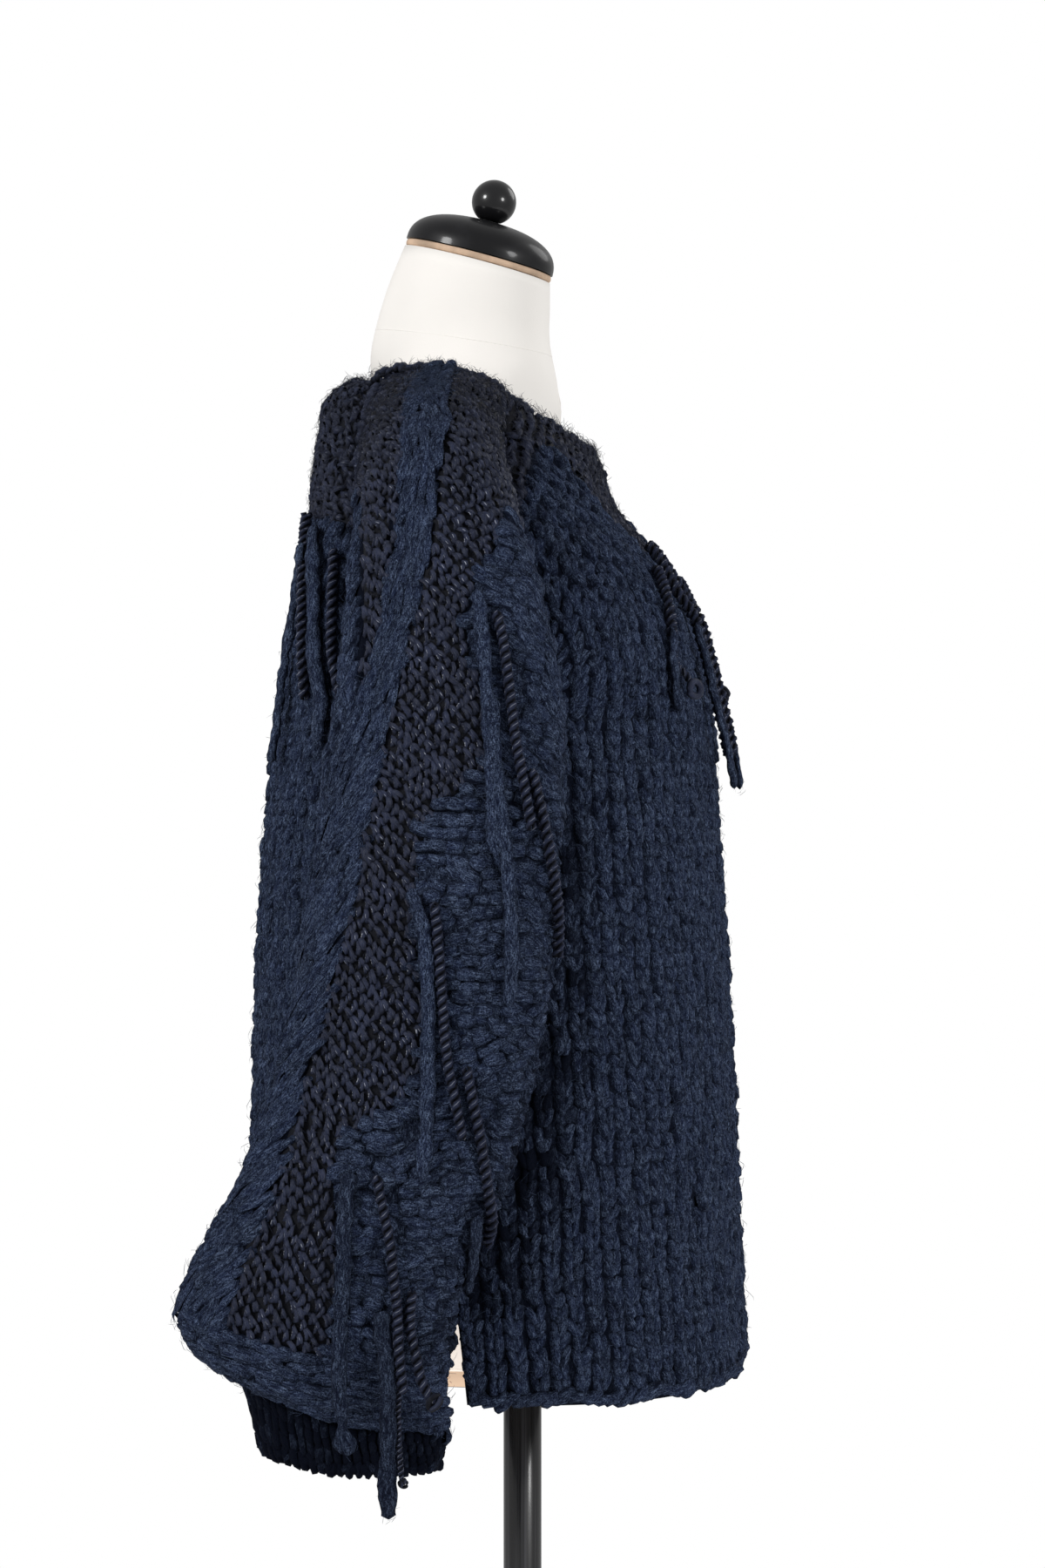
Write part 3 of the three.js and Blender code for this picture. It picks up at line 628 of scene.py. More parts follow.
def edge_chain(batch, points, outs, rng, pitch, size, lean, shade=0.0, facets=(6, 4)):
    """A bound-off edge: plump lengths of yarn that overlap along a line."""
    length = distances(points)
    count = max(2, int(length[-1] / pitch))
    s = (np.arange(count) + 0.5) * length[-1] / count
    out = unit(sample(s, length, outs))
    up = square_to(sample(s + 2, length, points) - sample(s - 2, length, points), out)
    axes = turned((np.cross(up, out), up, out), lean + rng.normal(0, 0.14, count),
                  rng.normal(0, 0.1, count), rng.normal(0, 0.2, count))
    centre = sample(s, length, points) + rng.normal(0, 0.5, (count, 3))
    spread = 1 + rng.normal(0, 0.09, (count, 3))
    batch.beads(bead(*facets, bend=0.1, whole=True), centre, axes, spread * size,
                rng.random(count) - shade)


def fuzz(batch, centre, out, rng, count, length=(4, 11), spread=4.0, stand=0.3, width=0.24,
         tone=1.0):
    """Loose curved fibres, mostly lying along the cloth. stand is how far they stand off it."""
    if not len(centre):
        return
    points, corners, sizes, painted_crest_light = bead(3, 3, fullness=0.6, whole=True)
    points = points * (1, 1, 0.03)
    points[:, 2] += 0.16 * (1 - (2 * points[:, 1]) ** 2)
    pick = rng.integers(0, len(centre), count)
    outward = out[pick]
    way = rng.normal(0, 1, (count, 3))
    way -= outward * dot(way, outward) * 0.8
    way = unit(unit(way) + outward * np.abs(rng.normal(0, stand, (count, 1))))
    right = unit(np.cross(way, outward))
    shift = rng.normal(0, spread, (count, 3))
    shift -= outward * dot(shift, outward)
    long = rng.uniform(*length, count)
    size = np.stack([np.full(count, width), long, long], -1)
    lift = dot(way, outward)[:, 0] * long * 0.45 + rng.uniform(-0.6, 0.5, count)
    # Loose fibres get an even painted crest light, without painted shade at their sides.
    batch.beads((points, corners, sizes, np.full(len(painted_crest_light), 0.7)),
                centre[pick] + shift + outward * lift[:, None],
                (right, way, np.cross(right, way)), size, tone + rng.random(count))


# --- Materials ---

def maths(operation, reverse=False):
    """An operator of Wire, as a Math node."""
    def method(self, *other):
        return self.math(operation, *((*other, self) if reverse else (self, *other)))
    return method


class Wire:
    """A socket of a shader node. Python's operators on it add Math nodes."""

    def __init__(self, tree, socket):
        self.tree, self.socket = tree, socket

    def math(self, operation, *values):
        node = self.tree.nodes.new("ShaderNodeMath")
        node.operation = operation
        for entry, value in zip(node.inputs, values):
            feed(entry, value)
        return Wire(self.tree, node.outputs[0])

    __add__, __radd__ = maths("ADD"), maths("ADD", reverse=True)
    __sub__, __rsub__ = maths("SUBTRACT"), maths("SUBTRACT", reverse=True)
    __mul__, __abs__ = maths("MULTIPLY"), maths("ABSOLUTE")


def feed(entry, value):
    """Links a wire to a socket, or sets the socket's constant."""
    if isinstance(value, Wire):
        value.tree.links.new(value.socket, entry)
    else:
        entry.default_value = value


class Finish:
    """A material being made: node() adds any node with its settings and socket values."""

    def __init__(self, name):
        self.material = bpy.data.materials.new(name)
        self.material.use_nodes = True
        self.tree = self.material.node_tree
        self.shader = self.tree.nodes["Principled BSDF"]
        self.place = self.node("TexCoord", output=3)

    def node(self, kind, output=0, settings=None, **inputs):
        node = self.tree.nodes.new("ShaderNode" + kind)
        for key, value in (settings or {}).items():
            setattr(node, key, value)
        self.fill(node, inputs)
        return Wire(self.tree, node.outputs[output])

    def fill(self, node, inputs):
        for key, value in inputs.items():
            key = int(key[1:]) if key[1:].isdigit() else key.replace("_", " ")
            feed(node.inputs[key], value)

    def attribute(self, name, output):
        return self.node("Attribute", output, {"attribute_name": name})

    def noise(self, vector, scale, detail=2.0, roughness=0.5):
        """Noise with one frequency, or with one along each axis."""
        if not isinstance(scale, float):
            vector, scale = self.node("Mapping", Vector=vector, Scale=scale), 1.0
        return self.node("TexNoise", Vector=vector, Scale=scale, Detail=detail, Roughness=roughness)

    def band(self, value, low, high):
        """0 below low and 1 above high, smooth between."""
        return self.node("MapRange", settings={"interpolation_type": "SMOOTHSTEP"},
                         Value=value, From_Min=low, From_Max=high)

    def mix(self, factor, first, second):
        return self.node("Mix", 2, {"data_type": "RGBA"}, i0=factor, i6=first, i7=second)

    def surface(self, bump=None, strength=0.5, distance=0.0005, **inputs):
        if bump is not None:
            inputs["Normal"] = self.node("Bump", Height=bump, Strength=strength, Distance=distance)
        self.fill(self.shader, inputs)
        return self.material


def linear(colour, gain=1.0):
    return (colour[0] * gain, colour[1] * gain, colour[2] * gain, 1.0)


def in_shade(f, tone, colour, tint):
    """Darkens a tint where the yarn's tone is below 0."""
    return f.mix(f.band(tone, -1.0, 0.0), linear(colour, 0.15), tint)


def roving(colour, fleck):
    """Felted wool roving: matte and hairy, with pale fibres among the dark ones. A negative tone
    is in shade, and a tone over 1 is a loose fibre."""
    f = Finish("navy_roving")
    yarn, painted_crest_light = f.attribute("yarn", 1), f.attribute("painted_crest_light", 2)
    tone = f.node("SeparateXYZ", output=2, Vector=yarn)
    hair = f.noise(yarn, (300, 1400, 9), 3.0, 0.7)
    curl = f.noise(f.place, (1250, 1250, 900), 2.0, 0.9)
    mottle = f.noise(yarn, (150, 420, 9), 2.0, 0.6)
    patch = f.noise(f.place, 60.0, 3.0, 0.6)
    pale = f.band(hair, 0.48, 0.68) * 0.9 + f.band(curl, 0.46, 0.66) * 0.8
    # Painted shade: lobes lighter on their crests and darker at their sides, mixed with mottling.
    lit = f.band(painted_crest_light * 0.6 + mottle * 0.8, 0.32, 0.98)
    ground = f.mix(f.band(tone * 0.35 + patch * 0.9, 0.3, 0.9), linear(colour, 0.52),
                   linear(colour, 1.2))
    ground = f.mix(lit, linear(colour, 0.22), ground)
    ground = f.mix(1 - f.band(curl * 0.55 + hair * 0.45, 0.36, 0.60), ground, linear(colour, 0.2))
    # Pale fibres show most where the lobe is painted lit.
    tint = f.mix(pale * (lit * 0.8 + 0.2) * f.band(mottle, 0.25, 0.7) * 0.58, ground, linear(fleck))
    tint = f.mix(f.band(tone, 1.0, 1.6) * 0.5, tint, linear(fleck, 0.45))
    bump = hair * 0.8 + curl * 0.8 + f.noise(f.place, 330.0, 3.0, 0.6) * 0.9
    return f.surface(bump=bump, strength=0.9, distance=0.0013,
                     Base_Color=in_shade(f, tone, colour, tint), Roughness=0.95,
                     Specular_IOR_Level=0.06)


def cord_finish(colour, glint):
    """Twisted two-ply cord: smooth plies with a slight gloss, and a painted glint, a bright dash,
    on each lobe. Each ply is painted darker at its sides, as shade. A negative tone is in shade,
    and a tone over 2 is a ply of a hanging cord."""
    f = Finish("charcoal_cord")
    yarn, painted_crest_light = f.attribute("yarn", 1), f.attribute("painted_crest_light", 2)
    along, around, tone = (f.node("SeparateXYZ", output=i, Vector=yarn) for i in range(3))
    strands = f.noise(yarn, (260, 2300, 9), 2.0, 0.6)
    curl = f.noise(f.place, (1200, 1200, 1200), 3.0, 0.7)
    patch = f.noise(f.place, 70.0)
    shade = f.band(tone * 0.1 + patch * 0.8, 0.3, 0.75)
    ground = f.mix(shade, linear(colour, 0.7), linear(colour, 1.3))
    hanging = f.band(tone, 1.8, 2.0)
    pale = (f.band(strands, 0.52, 0.68) * (0.6 - hanging * 0.6)
            + f.band(curl, 0.52, 0.70) * (0.6 + hanging * 0.5))
    tint = f.mix(pale * 0.3, ground, linear(glint, 0.25))
    # Painted shade at the sides of each ply, from its crest light.
    tint = f.mix(f.band(painted_crest_light + strands * 0.3, 0.25, 1.0), linear(colour, 0.16), tint)
    # A painted glint: a bright dash near the middle of each lobe, stronger on a share of them.
    length = abs(along + 0.0003)
    side = abs(around - 0.0007 + strands * 0.0006)
    painted_glint = (1 - f.band(length, 0.0006, 0.0016)) * (1 - f.band(side, 0.00006, 0.00030))
    bright = f.band(tone, 0.66, 0.70) * (0.42 - hanging * 0.12) + 0.08
    tint = f.mix(painted_glint * bright, tint, linear(glint))
    tint = f.mix(hanging * 0.3, in_shade(f, tone, colour, tint), linear(colour, 0.3))
    bump = strands * 0.6 + curl * (0.3 + hanging * 0.5)
    return f.surface(bump=bump, strength=0.8, distance=0.0009, Base_Color=tint,
                     Roughness=0.6 + hanging * 0.25 - painted_glint * 0.3, Specular_IOR_Level=0.16)


def jersey(colour, bare):
    """The form's jersey, yellowed downwards, above a bare strip at its foot. Its lower part is
    painted with a glow, an emission that stands in for light, and its underside is painted dark,
    as shade, without the glow."""
    f = Finish("cream_jersey")
    height = f.node("SeparateXYZ", output=2, Vector=f.place)
    rib = f.noise(f.place, (2600, 2600, 900), 1.0)
    cloud = f.noise(f.place, 9.0, 3.0)
    aged, foot = (CHEST + FORM_AGED) * MM, (CHEST + FORM_BARE) * MM
    tint = f.mix(f.band(cloud, 0.35, 0.7), linear(colour), linear(colour, 0.955))
    tint = f.mix((1 - f.band(height, aged - 0.02, aged + 0.05)) * 0.25, tint, linear(bare, 1.8))
    tint = f.mix(f.band(height, foot - 0.0006, foot + 0.0006), linear(bare, 1.2), tint)
    # Painted shade: the underside is painted nearly black. The painted glow is an emission on the
    # lower part, and none on the underside.
    under = f.band(height, foot - 0.0098, foot - 0.0096)
    painted_glow = f.mix(f.band(height, aged - 0.01, aged + 0.09), tint, linear(colour, 0.0))
    painted_glow = f.mix(under, linear(colour, 0.0), painted_glow)
    tint = f.mix(under, linear(bare, 0.1), tint)
    return f.surface(bump=rib + cloud * 0.6, strength=0.25, distance=0.0004, Base_Color=tint,
                     Roughness=0.85, Sheen_Weight=0.1, Emission_Color=painted_glow,
                     Emission_Strength=0.8)


def linen(colour):
    f = Finish("bare_linen")
    weave = f.noise(f.place, (500, 2200, 2200))
    stain = f.noise(f.place, 60.0, 3.0)
    tint = f.mix(f.band(stain, 0.35, 0.7), linear(colour, 1.25), linear(colour, 0.8))
    return f.surface(bump=weave + stain, strength=0.5, distance=0.0006, Base_Color=tint,
                     Roughness=0.9)


def lacquer(name, colour, roughness, coat, wear=0.08, grain=(38.0, 38.0, 38.0), pale=1.5,
            gloss=0.5):
    """Black paint: grain is its smears' frequency, and pale how much lighter they are. On the pole
    they are long upright streaks, a painted reflection.
    """
    f = Finish(name)
    smears_and_painted_streaks = f.noise(f.place, grain, 4.0, 0.6)
    rough = roughness + f.band(smears_and_painted_streaks, 0.35, 0.75) * wear
    # Lighter smears; on the pole, long upright streaks that are a painted reflection of its gloss.
    tint = f.mix(f.band(smears_and_painted_streaks, 0.5, 0.68), linear(colour), linear(colour, pale))
    return f.surface(bump=f.noise(f.place, 95.0), strength=0.12, distance=0.0004,
                     Base_Color=tint, Roughness=rough, Coat_Weight=coat, Coat_Roughness=0.12,
                     Specular_IOR_Level=gloss)


FINISHES = {}
MAKERS = {
    "navy_roving": lambda c: roving(c.navy, c.navy_fleck),
    "charcoal_cord": lambda c: cord_finish(c.charcoal, c.cord_glint),
    "cream_jersey": lambda c: jersey(c.jersey, c.linen),
    "bare_linen": lambda c: linen(c.linen),
    "satin_black": lambda c: lacquer("satin_black", c.black, 0.34, 0.22, gloss=0.15),
    "gloss_black": lambda c: lacquer("gloss_black", c.black, 0.34, 0.6, gloss=0.15),
    # The pole's upright streaks, nine times lighter, are a painted reflection of its gloss.
    "pole_black": lambda c: lacquer("pole_black", c.black, 0.25, 0.3, wear=0.3,
                                    grain=(420.0, 420.0, 1.5), pale=9.0),
    "foot_black": lambda c: lacquer("foot_black", c.black, 0.35, 0.2, wear=0.12),
}


def finish(slot):
    """The finish of a material slot, made once."""
    if slot not in FINISHES:
        FINISHES[slot] = MAKERS[slot](bpy.context.scene.sweater_colours)
    return FINISHES[slot]


# --- Knitted panels ---

NAVY, CORD = "navy_roving", "charcoal_cord"
BODY_SEED, SLEEVE_SEED, CUFF_SEED, TAIL_SEED = 11, 31, 51, 71
# How far below the knit's outer surface its grounds and edges lie.
GROUND_DEPTH, HEM_DEPTH, CUFF_DEPTH, LIP_DEPTH = 3.6, 3.8, 3.4, 3.2
STITCHES_BELOW_YOKE = 0.012
# The yarn tails that hang from each panel and side.
TAIL_PIECES = {}


def declare(cloth, node):
    """Hides the CAD node that a panel stands for."""
    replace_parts(cloth, node)


def level(value):
    return lambda ring: np.zeros_like(np.asarray(ring, float)) + value


def switched(at, before, after):
    """One edge for the rings before a certain one, and another from there on."""
    return lambda ring: np.where(ring < at, before(ring), after(ring))


moss_front_edge = switched(YOKE_AT_SEAM, RAGLAN.front, MOSS_FRONT_EDGE.angle)
moss_back_edge = switched(YOKE_AT_SEAM, RAGLAN.back, MOSS_BACK_EDGE.angle)
behind_bands = switched(MOSS_BACK_TIP, moss_back_edge, RIDGE.back)
front_limit = switched(UNDERARM, RAGLAN.front, level(180))
back_limit = switched(UNDERARM, RAGLAN.back, level(-180))


def behind_strokes(ring):
    """How far back the ridge's long strokes reach: less than its ground, beside the moss."""
    return RIDGE.back(ring) + 9.0 * ramp(ring, 0.6, 0.3) * ramp(ring, 1.62, -0.25)


def moss_back_strokes(ring):
    """How far back the rear moss's stitches go. Their tail runs on below its ground's tip."""
    tail = RIDGE.back(ring) - 14.5 * ramp(ring, MOSS_BACK_FADE, -0.37)
    return np.where(ring <= 1.15, moss_back_edge(ring), tail)


ALL_ROUND = (level(-180), level(180))
ALL_ACROSS = (level(-1), level(1))


def halfway(edges):
    return lambda ring: (edges[0](ring) + edges[1](ring)) / 2


def between(span, edges):
    """A shell's place(): rings over a span, and angles between two edges."""
    def place(u, v):
        ring = span[0] + (span[1] - span[0]) * v
        low, high = (edge(ring) for edge in edges)
        return ring, low + (high - low) * u
    return place


def beside_sleeves(points, full=42.0, none=64.0):
    """How deep in the sleeves' shade each point of the body is, from 0 to 1."""
    ring, angle = np.meshgrid(np.linspace(1.0, 3.25, 40), np.arange(-180, 180, 9.0))
    near = sleeve_surface("left").point(ring.ravel(), angle.ravel())
    mirrored = np.abs(points * (1, 0, 0)) + points * (0, 1, 1)
    gap = np.array([np.linalg.norm(near - p, axis=1).min() for p in mirrored])
    return ramp(gap, none, full - none)


def edge_of(surface, along, across, depth):
    """A line sunk below a surface, and its outward directions."""
    along, across = np.broadcast_arrays(np.asarray(along, float), np.asarray(across, float))
    return surface.sunk(along, across, depth), surface.frame(along, across)[2]


def body_stitches(face, surface, edge, wale, course, fibres, rng):
    """The stocking stitch of the front or back, below its yoke's edge."""
    field = lay_out(surface, (2.0, 0.0), level(0.0), course, ALL_ACROSS, wale, 0.0)
    below = field.along > edge(np.abs(field.across)) + STITCHES_BELOW_YOKE
    field.keep(below & (field.row > 0))
    shade = beside_sleeves(field.centre) * (0.95 if face == "front" else 0.5)
    batch = Batch()
    stockinette(batch, field, wale, course, rng, shade=shade * ramp(field.along, 1.0, 0.3))
    fuzz(batch, field.centre, field.out, rng, fibres // 4)
    return batch.piece(f"stitches_{face}_body", NAVY, felt=0.3)


def yoke_stitches(face, surface, edge, pitch, fibres, rng):
    """The moss stitch of a yoke, with its bound neckline and its cord along both seams."""
    front = face == "front"
    field = moss_field(surface, (0.0, 0.62), level(0.5), ALL_ACROSS, pitch)
    field.keep(field.along < edge(np.abs(field.across)))
    thin(field)
    batch = Batch()
    # Yoke plies get a lower tone scale, so fewer painted glints, and some painted shade.
    moss(batch, field, rng, small=0.8 + 0.2 * ramp(field.along, 0, 0.25), glint_scale=0.68, shade=0.35,
         uneven=1.7)
    across = np.linspace(-1, 1, 200)
    line, outs = edge_of(surface, 0.0, across, GROUND_DEPTH)
    if not front:
        line[:, 2] += 7.0 * ramp(np.abs(across), 0.85, 0.15)
    edge_chain(batch, line, outs + (0, 0, 0.6), rng, pitch=4.4, size=(4.6, 9.0, 6.0), lean=0.8)
    for side in (-1, 1):
        ring = np.linspace(0.02, YOKE_AT_SEAM, 60)
        sleeve = sleeve_surface("left" if side > 0 else "right")
        seam_outs = surface.frame(ring, np.full(60, side * 0.99))[2]
        seam_outs = unit(seam_outs + sleeve.frame(ring, getattr(RAGLAN, face)(ring))[2])
        seam = surface.point(ring, np.full(60, float(side))) - seam_outs * (3.0 if front else 0.8)
        edge_chain(batch, seam, seam_outs, rng, pitch=5.0, lean=0.7, shade=0.8 if front else 0.2,
                   size=(5.6, 8.6, 6.4) if front else (9.0, 9.0, 8.0))
    fuzz(batch, field.centre, field.out, rng, fibres // 4, length=(4, 10), stand=0.05, width=0.26,
         tone=-0.45)
    fuzz(batch, line, unit(outs + (0, 0, 1.5)), rng, fibres // 16, stand=0.8, width=0.18,
         tone=-0.35)
    return batch.piece(f"stitches_{face}_yoke", CORD, felt=0.3)


def hem_chain(face, surface, rng):
    """The chained hem, with its ends turned up along the side slits."""
    batch = Batch()
    line, outs = edge_of(surface, 2.0, np.linspace(-0.995, 0.995, 300), HEM_DEPTH)
    line[:, 2] += lumps(line, 24, 5) * 1.2 + 4.0
    edge_chain(batch, line, outs + (0, 0, -0.35), rng, pitch=8.4, size=(8.6, 17.0, 8.6), lean=0.4,
               facets=(10, 6))
    for side in (-1, 1):
        line, outs = edge_of(surface, np.linspace(1.60, 1.995, 90), side * 0.996, HEM_DEPTH)
        edge_chain(batch, line, outs, rng, pitch=8.4, size=(7.4, 12.5, 7.8), lean=0.35)
    return batch.piece(f"hem_{face}", NAVY, felt=0.6)


def knit_body(settings):
    wale, course = settings.wale_width / MM, settings.course_height / MM
    for number, face in enumerate(("front", "back")):
        rng = np.random.default_rng(BODY_SEED + number)
        surface = body_surface(face)
        edge = YOKE_EDGE[face].row
        # Both grounds are painted dark as the shade between stitches; the body's keeps a little
        # painted light.
        yoke = shell(f"ground_{face}_yoke", surface, (36, 8), lambda u, v: (
            edge(np.abs(2 * u - 1)) * v, 2 * u - 1), GROUND_DEPTH, 4.2, CORD)
        body = shell(f"ground_{face}_body", surface, (48, 40), lambda u, v: (
            edge(np.abs(2 * u - 1)) * (1 - v) + 2 * v, 2 * u - 1), 3.2, 4.6, NAVY, 0.2)
        stitched = body_stitches(face, surface, edge, wale, course, settings.fibres, rng)
        mossed = yoke_stitches(face, surface, edge, settings.moss_pitch / MM, settings.fibres, rng)
        hemmed = hem_chain(face, surface, rng)
        declare(yoke, f"{face}_yoke")
        declare(body, f"{face}_body")


# Each sleeve panel: where it starts and ends, its two edges, its ground's divisions, its slot.
SLEEVE_PANELS = {
    "sleeve_ridge": ((0, SLEEVE_HEM), (RIDGE.back, RIDGE.front), (6, 90), NAVY),
    "sleeve_moss_front": ((0, SLEEVE_HEM), (RIDGE.front, moss_front_edge), (10, 90), CORD),
    "sleeve_moss_back": ((0, MOSS_BACK_TIP), (moss_back_edge, RIDGE.back), (10, 40), CORD),
    "sleeve_front": ((YOKE_AT_SEAM, SLEEVE_HEM), (moss_front_edge, front_limit), (22, 76), NAVY),
    "sleeve_back": ((YOKE_AT_SEAM, SLEEVE_HEM), (back_limit, behind_bands), (14, 76), NAVY),
    "sleeve_end": ((SLEEVE_HEM, CUFF_SEAM), ALL_ROUND, (48, 10), NAVY),
}
# A panel gets one loose fibre in this many, and one in 16 where it isn't here.
FIBRE_SHARES = {"sleeve_end": 24, "sleeve_moss_back": 40}


def sleeve_stitches(batch, name, side, surface, span, edges, settings, rng):
    """Fills one panel of a sleeve with its stitches, and returns where they are."""
    wale, course = settings.wale_width / MM, settings.course_height / MM
    middle = halfway(edges)
    if name == "sleeve_ridge":
        field = lay_out(surface, span, middle, 11.5, (behind_strokes, edges[1]), 5.0, 0.0,
                        margin=-0.25, stagger=0.37)
        slant = 0.06 + 0.5 * ramp(field.along, 0.9, 1.0)
        felted_band(batch, field, rng, slant * (1 if side == "left" else -1), (7.6, 32.0, 7.6))
    elif name.startswith("sleeve_moss"):
        if name == "sleeve_moss_back":
            span, edges = (span[0], MOSS_BACK_FADE), (moss_back_strokes, behind_strokes)
        field = moss_field(surface, span, middle, edges, settings.moss_pitch / MM)
        thin(field)
        moss(batch, field, rng, shade=ramp(field.along, 0.95, -0.6))
    elif name == "sleeve_front":
        field = lay_out(surface, span, level(90.0), 6.8, edges, 8.6, 100.0, "across",
                        stagger=0.43, margin=-0.1)
        field.keep((field.widen > 0.5) | (field.row % 2 == 0))
        # Painted shade on the front edge, where it turns in towards the body, and low on the front.
        turned_in_shade = ramp(field.across, 78, 30) * np.clip(field.along - 0.9, 0, 0.8)
        low_front_shade = ramp(field.across, 20, 40) * np.clip(field.along - 2.5, 0, 0.5)
        felted_band(batch, field, rng, 0.3 * wander(field.centre, 45, 12), (9.8, 15.5, 8.0),
                    depth=3.3, drift=(1.2, 2.4, 0.7), facets=(8, 4), uneven=1.8,
                    shade=np.minimum(turned_in_shade + low_front_shade, 0.85))
    elif name == "sleeve_back":
        field = lay_out(surface, span, level(-120.0), course, (edges[0], moss_back_strokes), wale,
                        -120.0)
        stockinette(batch, field, wale, course, rng)
    else:
        field = lay_out(surface, span, level(0.0), 6.5, edges, 12.0, 0.0, "across", stagger=0.4)
        felted_band(batch, field, rng, 0.0, (8.4, 25.0, 7.8), facets=(8, 4))
        lip, outs = edge_of(surface, 4.0, np.linspace(-180, 180, 300), LIP_DEPTH)
        edge_chain(batch, lip, outs + (0, 0, -0.6), rng, pitch=8.0, size=(8.6, 15.0, 8.6),
                   lean=0.35)
    return field


def sleeve_neckline(batch, slot, surface, edges, fibres, rng):
    """Binds off a panel that reaches the neckline, with the ridge's one large knot."""
    turn = np.linspace(*(float(edge(0.0)) for edge in edges), 120)
    outs = unit(surface.frame(np.full(120, 0.03), turn)[2] + (0, 0, 0.5))
    raised = np.interp(turn, (-60, -45, -10, 20), (8.0, 6.5, 2.0, 0.0))
    neck = surface.point(np.full(120, 0.0), turn) + outs * (raised - 3.0)[:, None]
    fine = slot == CORD
    edge_chain(batch, neck, outs, rng, pitch=4.4 if fine else 6.5,
               size=(4.8, 9.5, 7.0) if fine else (8.0, 14.0, 8.0), lean=0.8)
    if fine:
        edge_chain(batch, neck - outs * (raised * 0.5)[:, None] - (0, 0, 2.0), outs, rng,
                   pitch=4.4, size=(4.8, 9.5, 7.0), lean=-0.6)
    else:
        out, back = outs[60:61], np.array([[0, 1.0, 0]])
        batch.beads(bead(8, 5, whole=True), surface.point(0.0, 6.0)[None] + (0, 0, 0.5),
                    (back, np.cross(out, back), out), np.array([[8.5, 9.0, 9.0]]), rng.random(1))
    fuzz(batch, neck, unit(outs + (0, 0, 0.8)), rng, fibres // 60, stand=0.8, width=0.18,
         tone=-0.35 if fine else 1.0)


def knit_sleeves(settings):
    for number, side in enumerate(SIDES):
        surface = sleeve_surface(side)
        rng = np.random.default_rng(SLEEVE_SEED + number)
        for name, (span, edges, divisions, slot) in SLEEVE_PANELS.items():
            # The front's ground keeps some painted light; the other grounds are painted dark, as
            # shade.
            depth, wall, painted_ground_light = (2.6, 5.0, 0.55) if name == "sleeve_front" else (3.6, 4.2, 0.0)
            ground = shell(f"ground_{name}_{side}", surface, divisions, between(span, edges),
                           depth, wall, slot, painted_ground_light)
            batch = Batch()
            field = sleeve_stitches(batch, name, side, surface, span, edges, settings, rng)
            if span[0] == 0:
                sleeve_neckline(batch, slot, surface, edges, settings.fibres, rng)
            navy = slot == NAVY
            fuzz(batch, field.centre, field.out, rng,
                 settings.fibres // FIBRE_SHARES.get(name, 16), tone=1.0 if navy else -0.35)
            brushed = field.along < 0.5
            fuzz(batch, field.centre[brushed], field.out[brushed], rng, settings.fibres // 18,
                 length=(5, 11), stand=0.05, width=0.26, tone=1.0 if navy else -0.45)
            stitched = batch.piece(f"stitches_{name}_{side}", slot, felt=0.3 if navy else 0.2)
            declare(ground, f"{name}_{side}")


def knit_cuffs():
    for number, side in enumerate(SIDES):
        surface = ring_surface(CUFF, 0.05, side)
        rng = np.random.default_rng(CUFF_SEED + number)
        ground = shell(f"ground_cuff_{side}", surface, (48, 5), between((0, 1), ALL_ROUND),
                       CUFF_DEPTH, 4.4, NAVY)
        field = lay_out(surface, (0.0, 1.0), level(0.0), 7.0, ALL_ROUND, 5.8, 0.0, margin=0.0)
        n = len(field.row)
        axes = turned(field.axes(), rng.normal(0, 0.06, n), rng.normal(0, 0.05, n),
                      rng.normal(0, 0.1, n))
        size = np.stack([np.full(n, 6.3), 12.5 * field.stretch, np.full(n, 6.4)], -1)
        ribs = Batch()
        # The ribs' tones are painted deep in shade, as under the sleeve end's overhang.
        ribs.beads(bead(8, 4, bend=0.05), field.centre - field.out * CUFF_DEPTH, axes,
                   size * (1 + rng.normal(0, 0.06, (n, 3))), rng.random(n) * 0.6 - 1.25)
        angle = np.linspace(-180, 180, 240)
        outs = edge_of(surface, 1.0, angle, 0)[1]
        edge_chain(ribs, edge_of(surface, 0.88, angle, CUFF_DEPTH)[0], outs + (0, 0, -0.5), rng,
                   pitch=5.8, size=(6.4, 8.0, 7.4), lean=0.9, shade=1.5)
        stitched = ribs.piece(f"ribs_cuff_{side}", NAVY, felt=0.35)
        declare(ground, f"cuff_{side}")


# --- Yarn tails ---

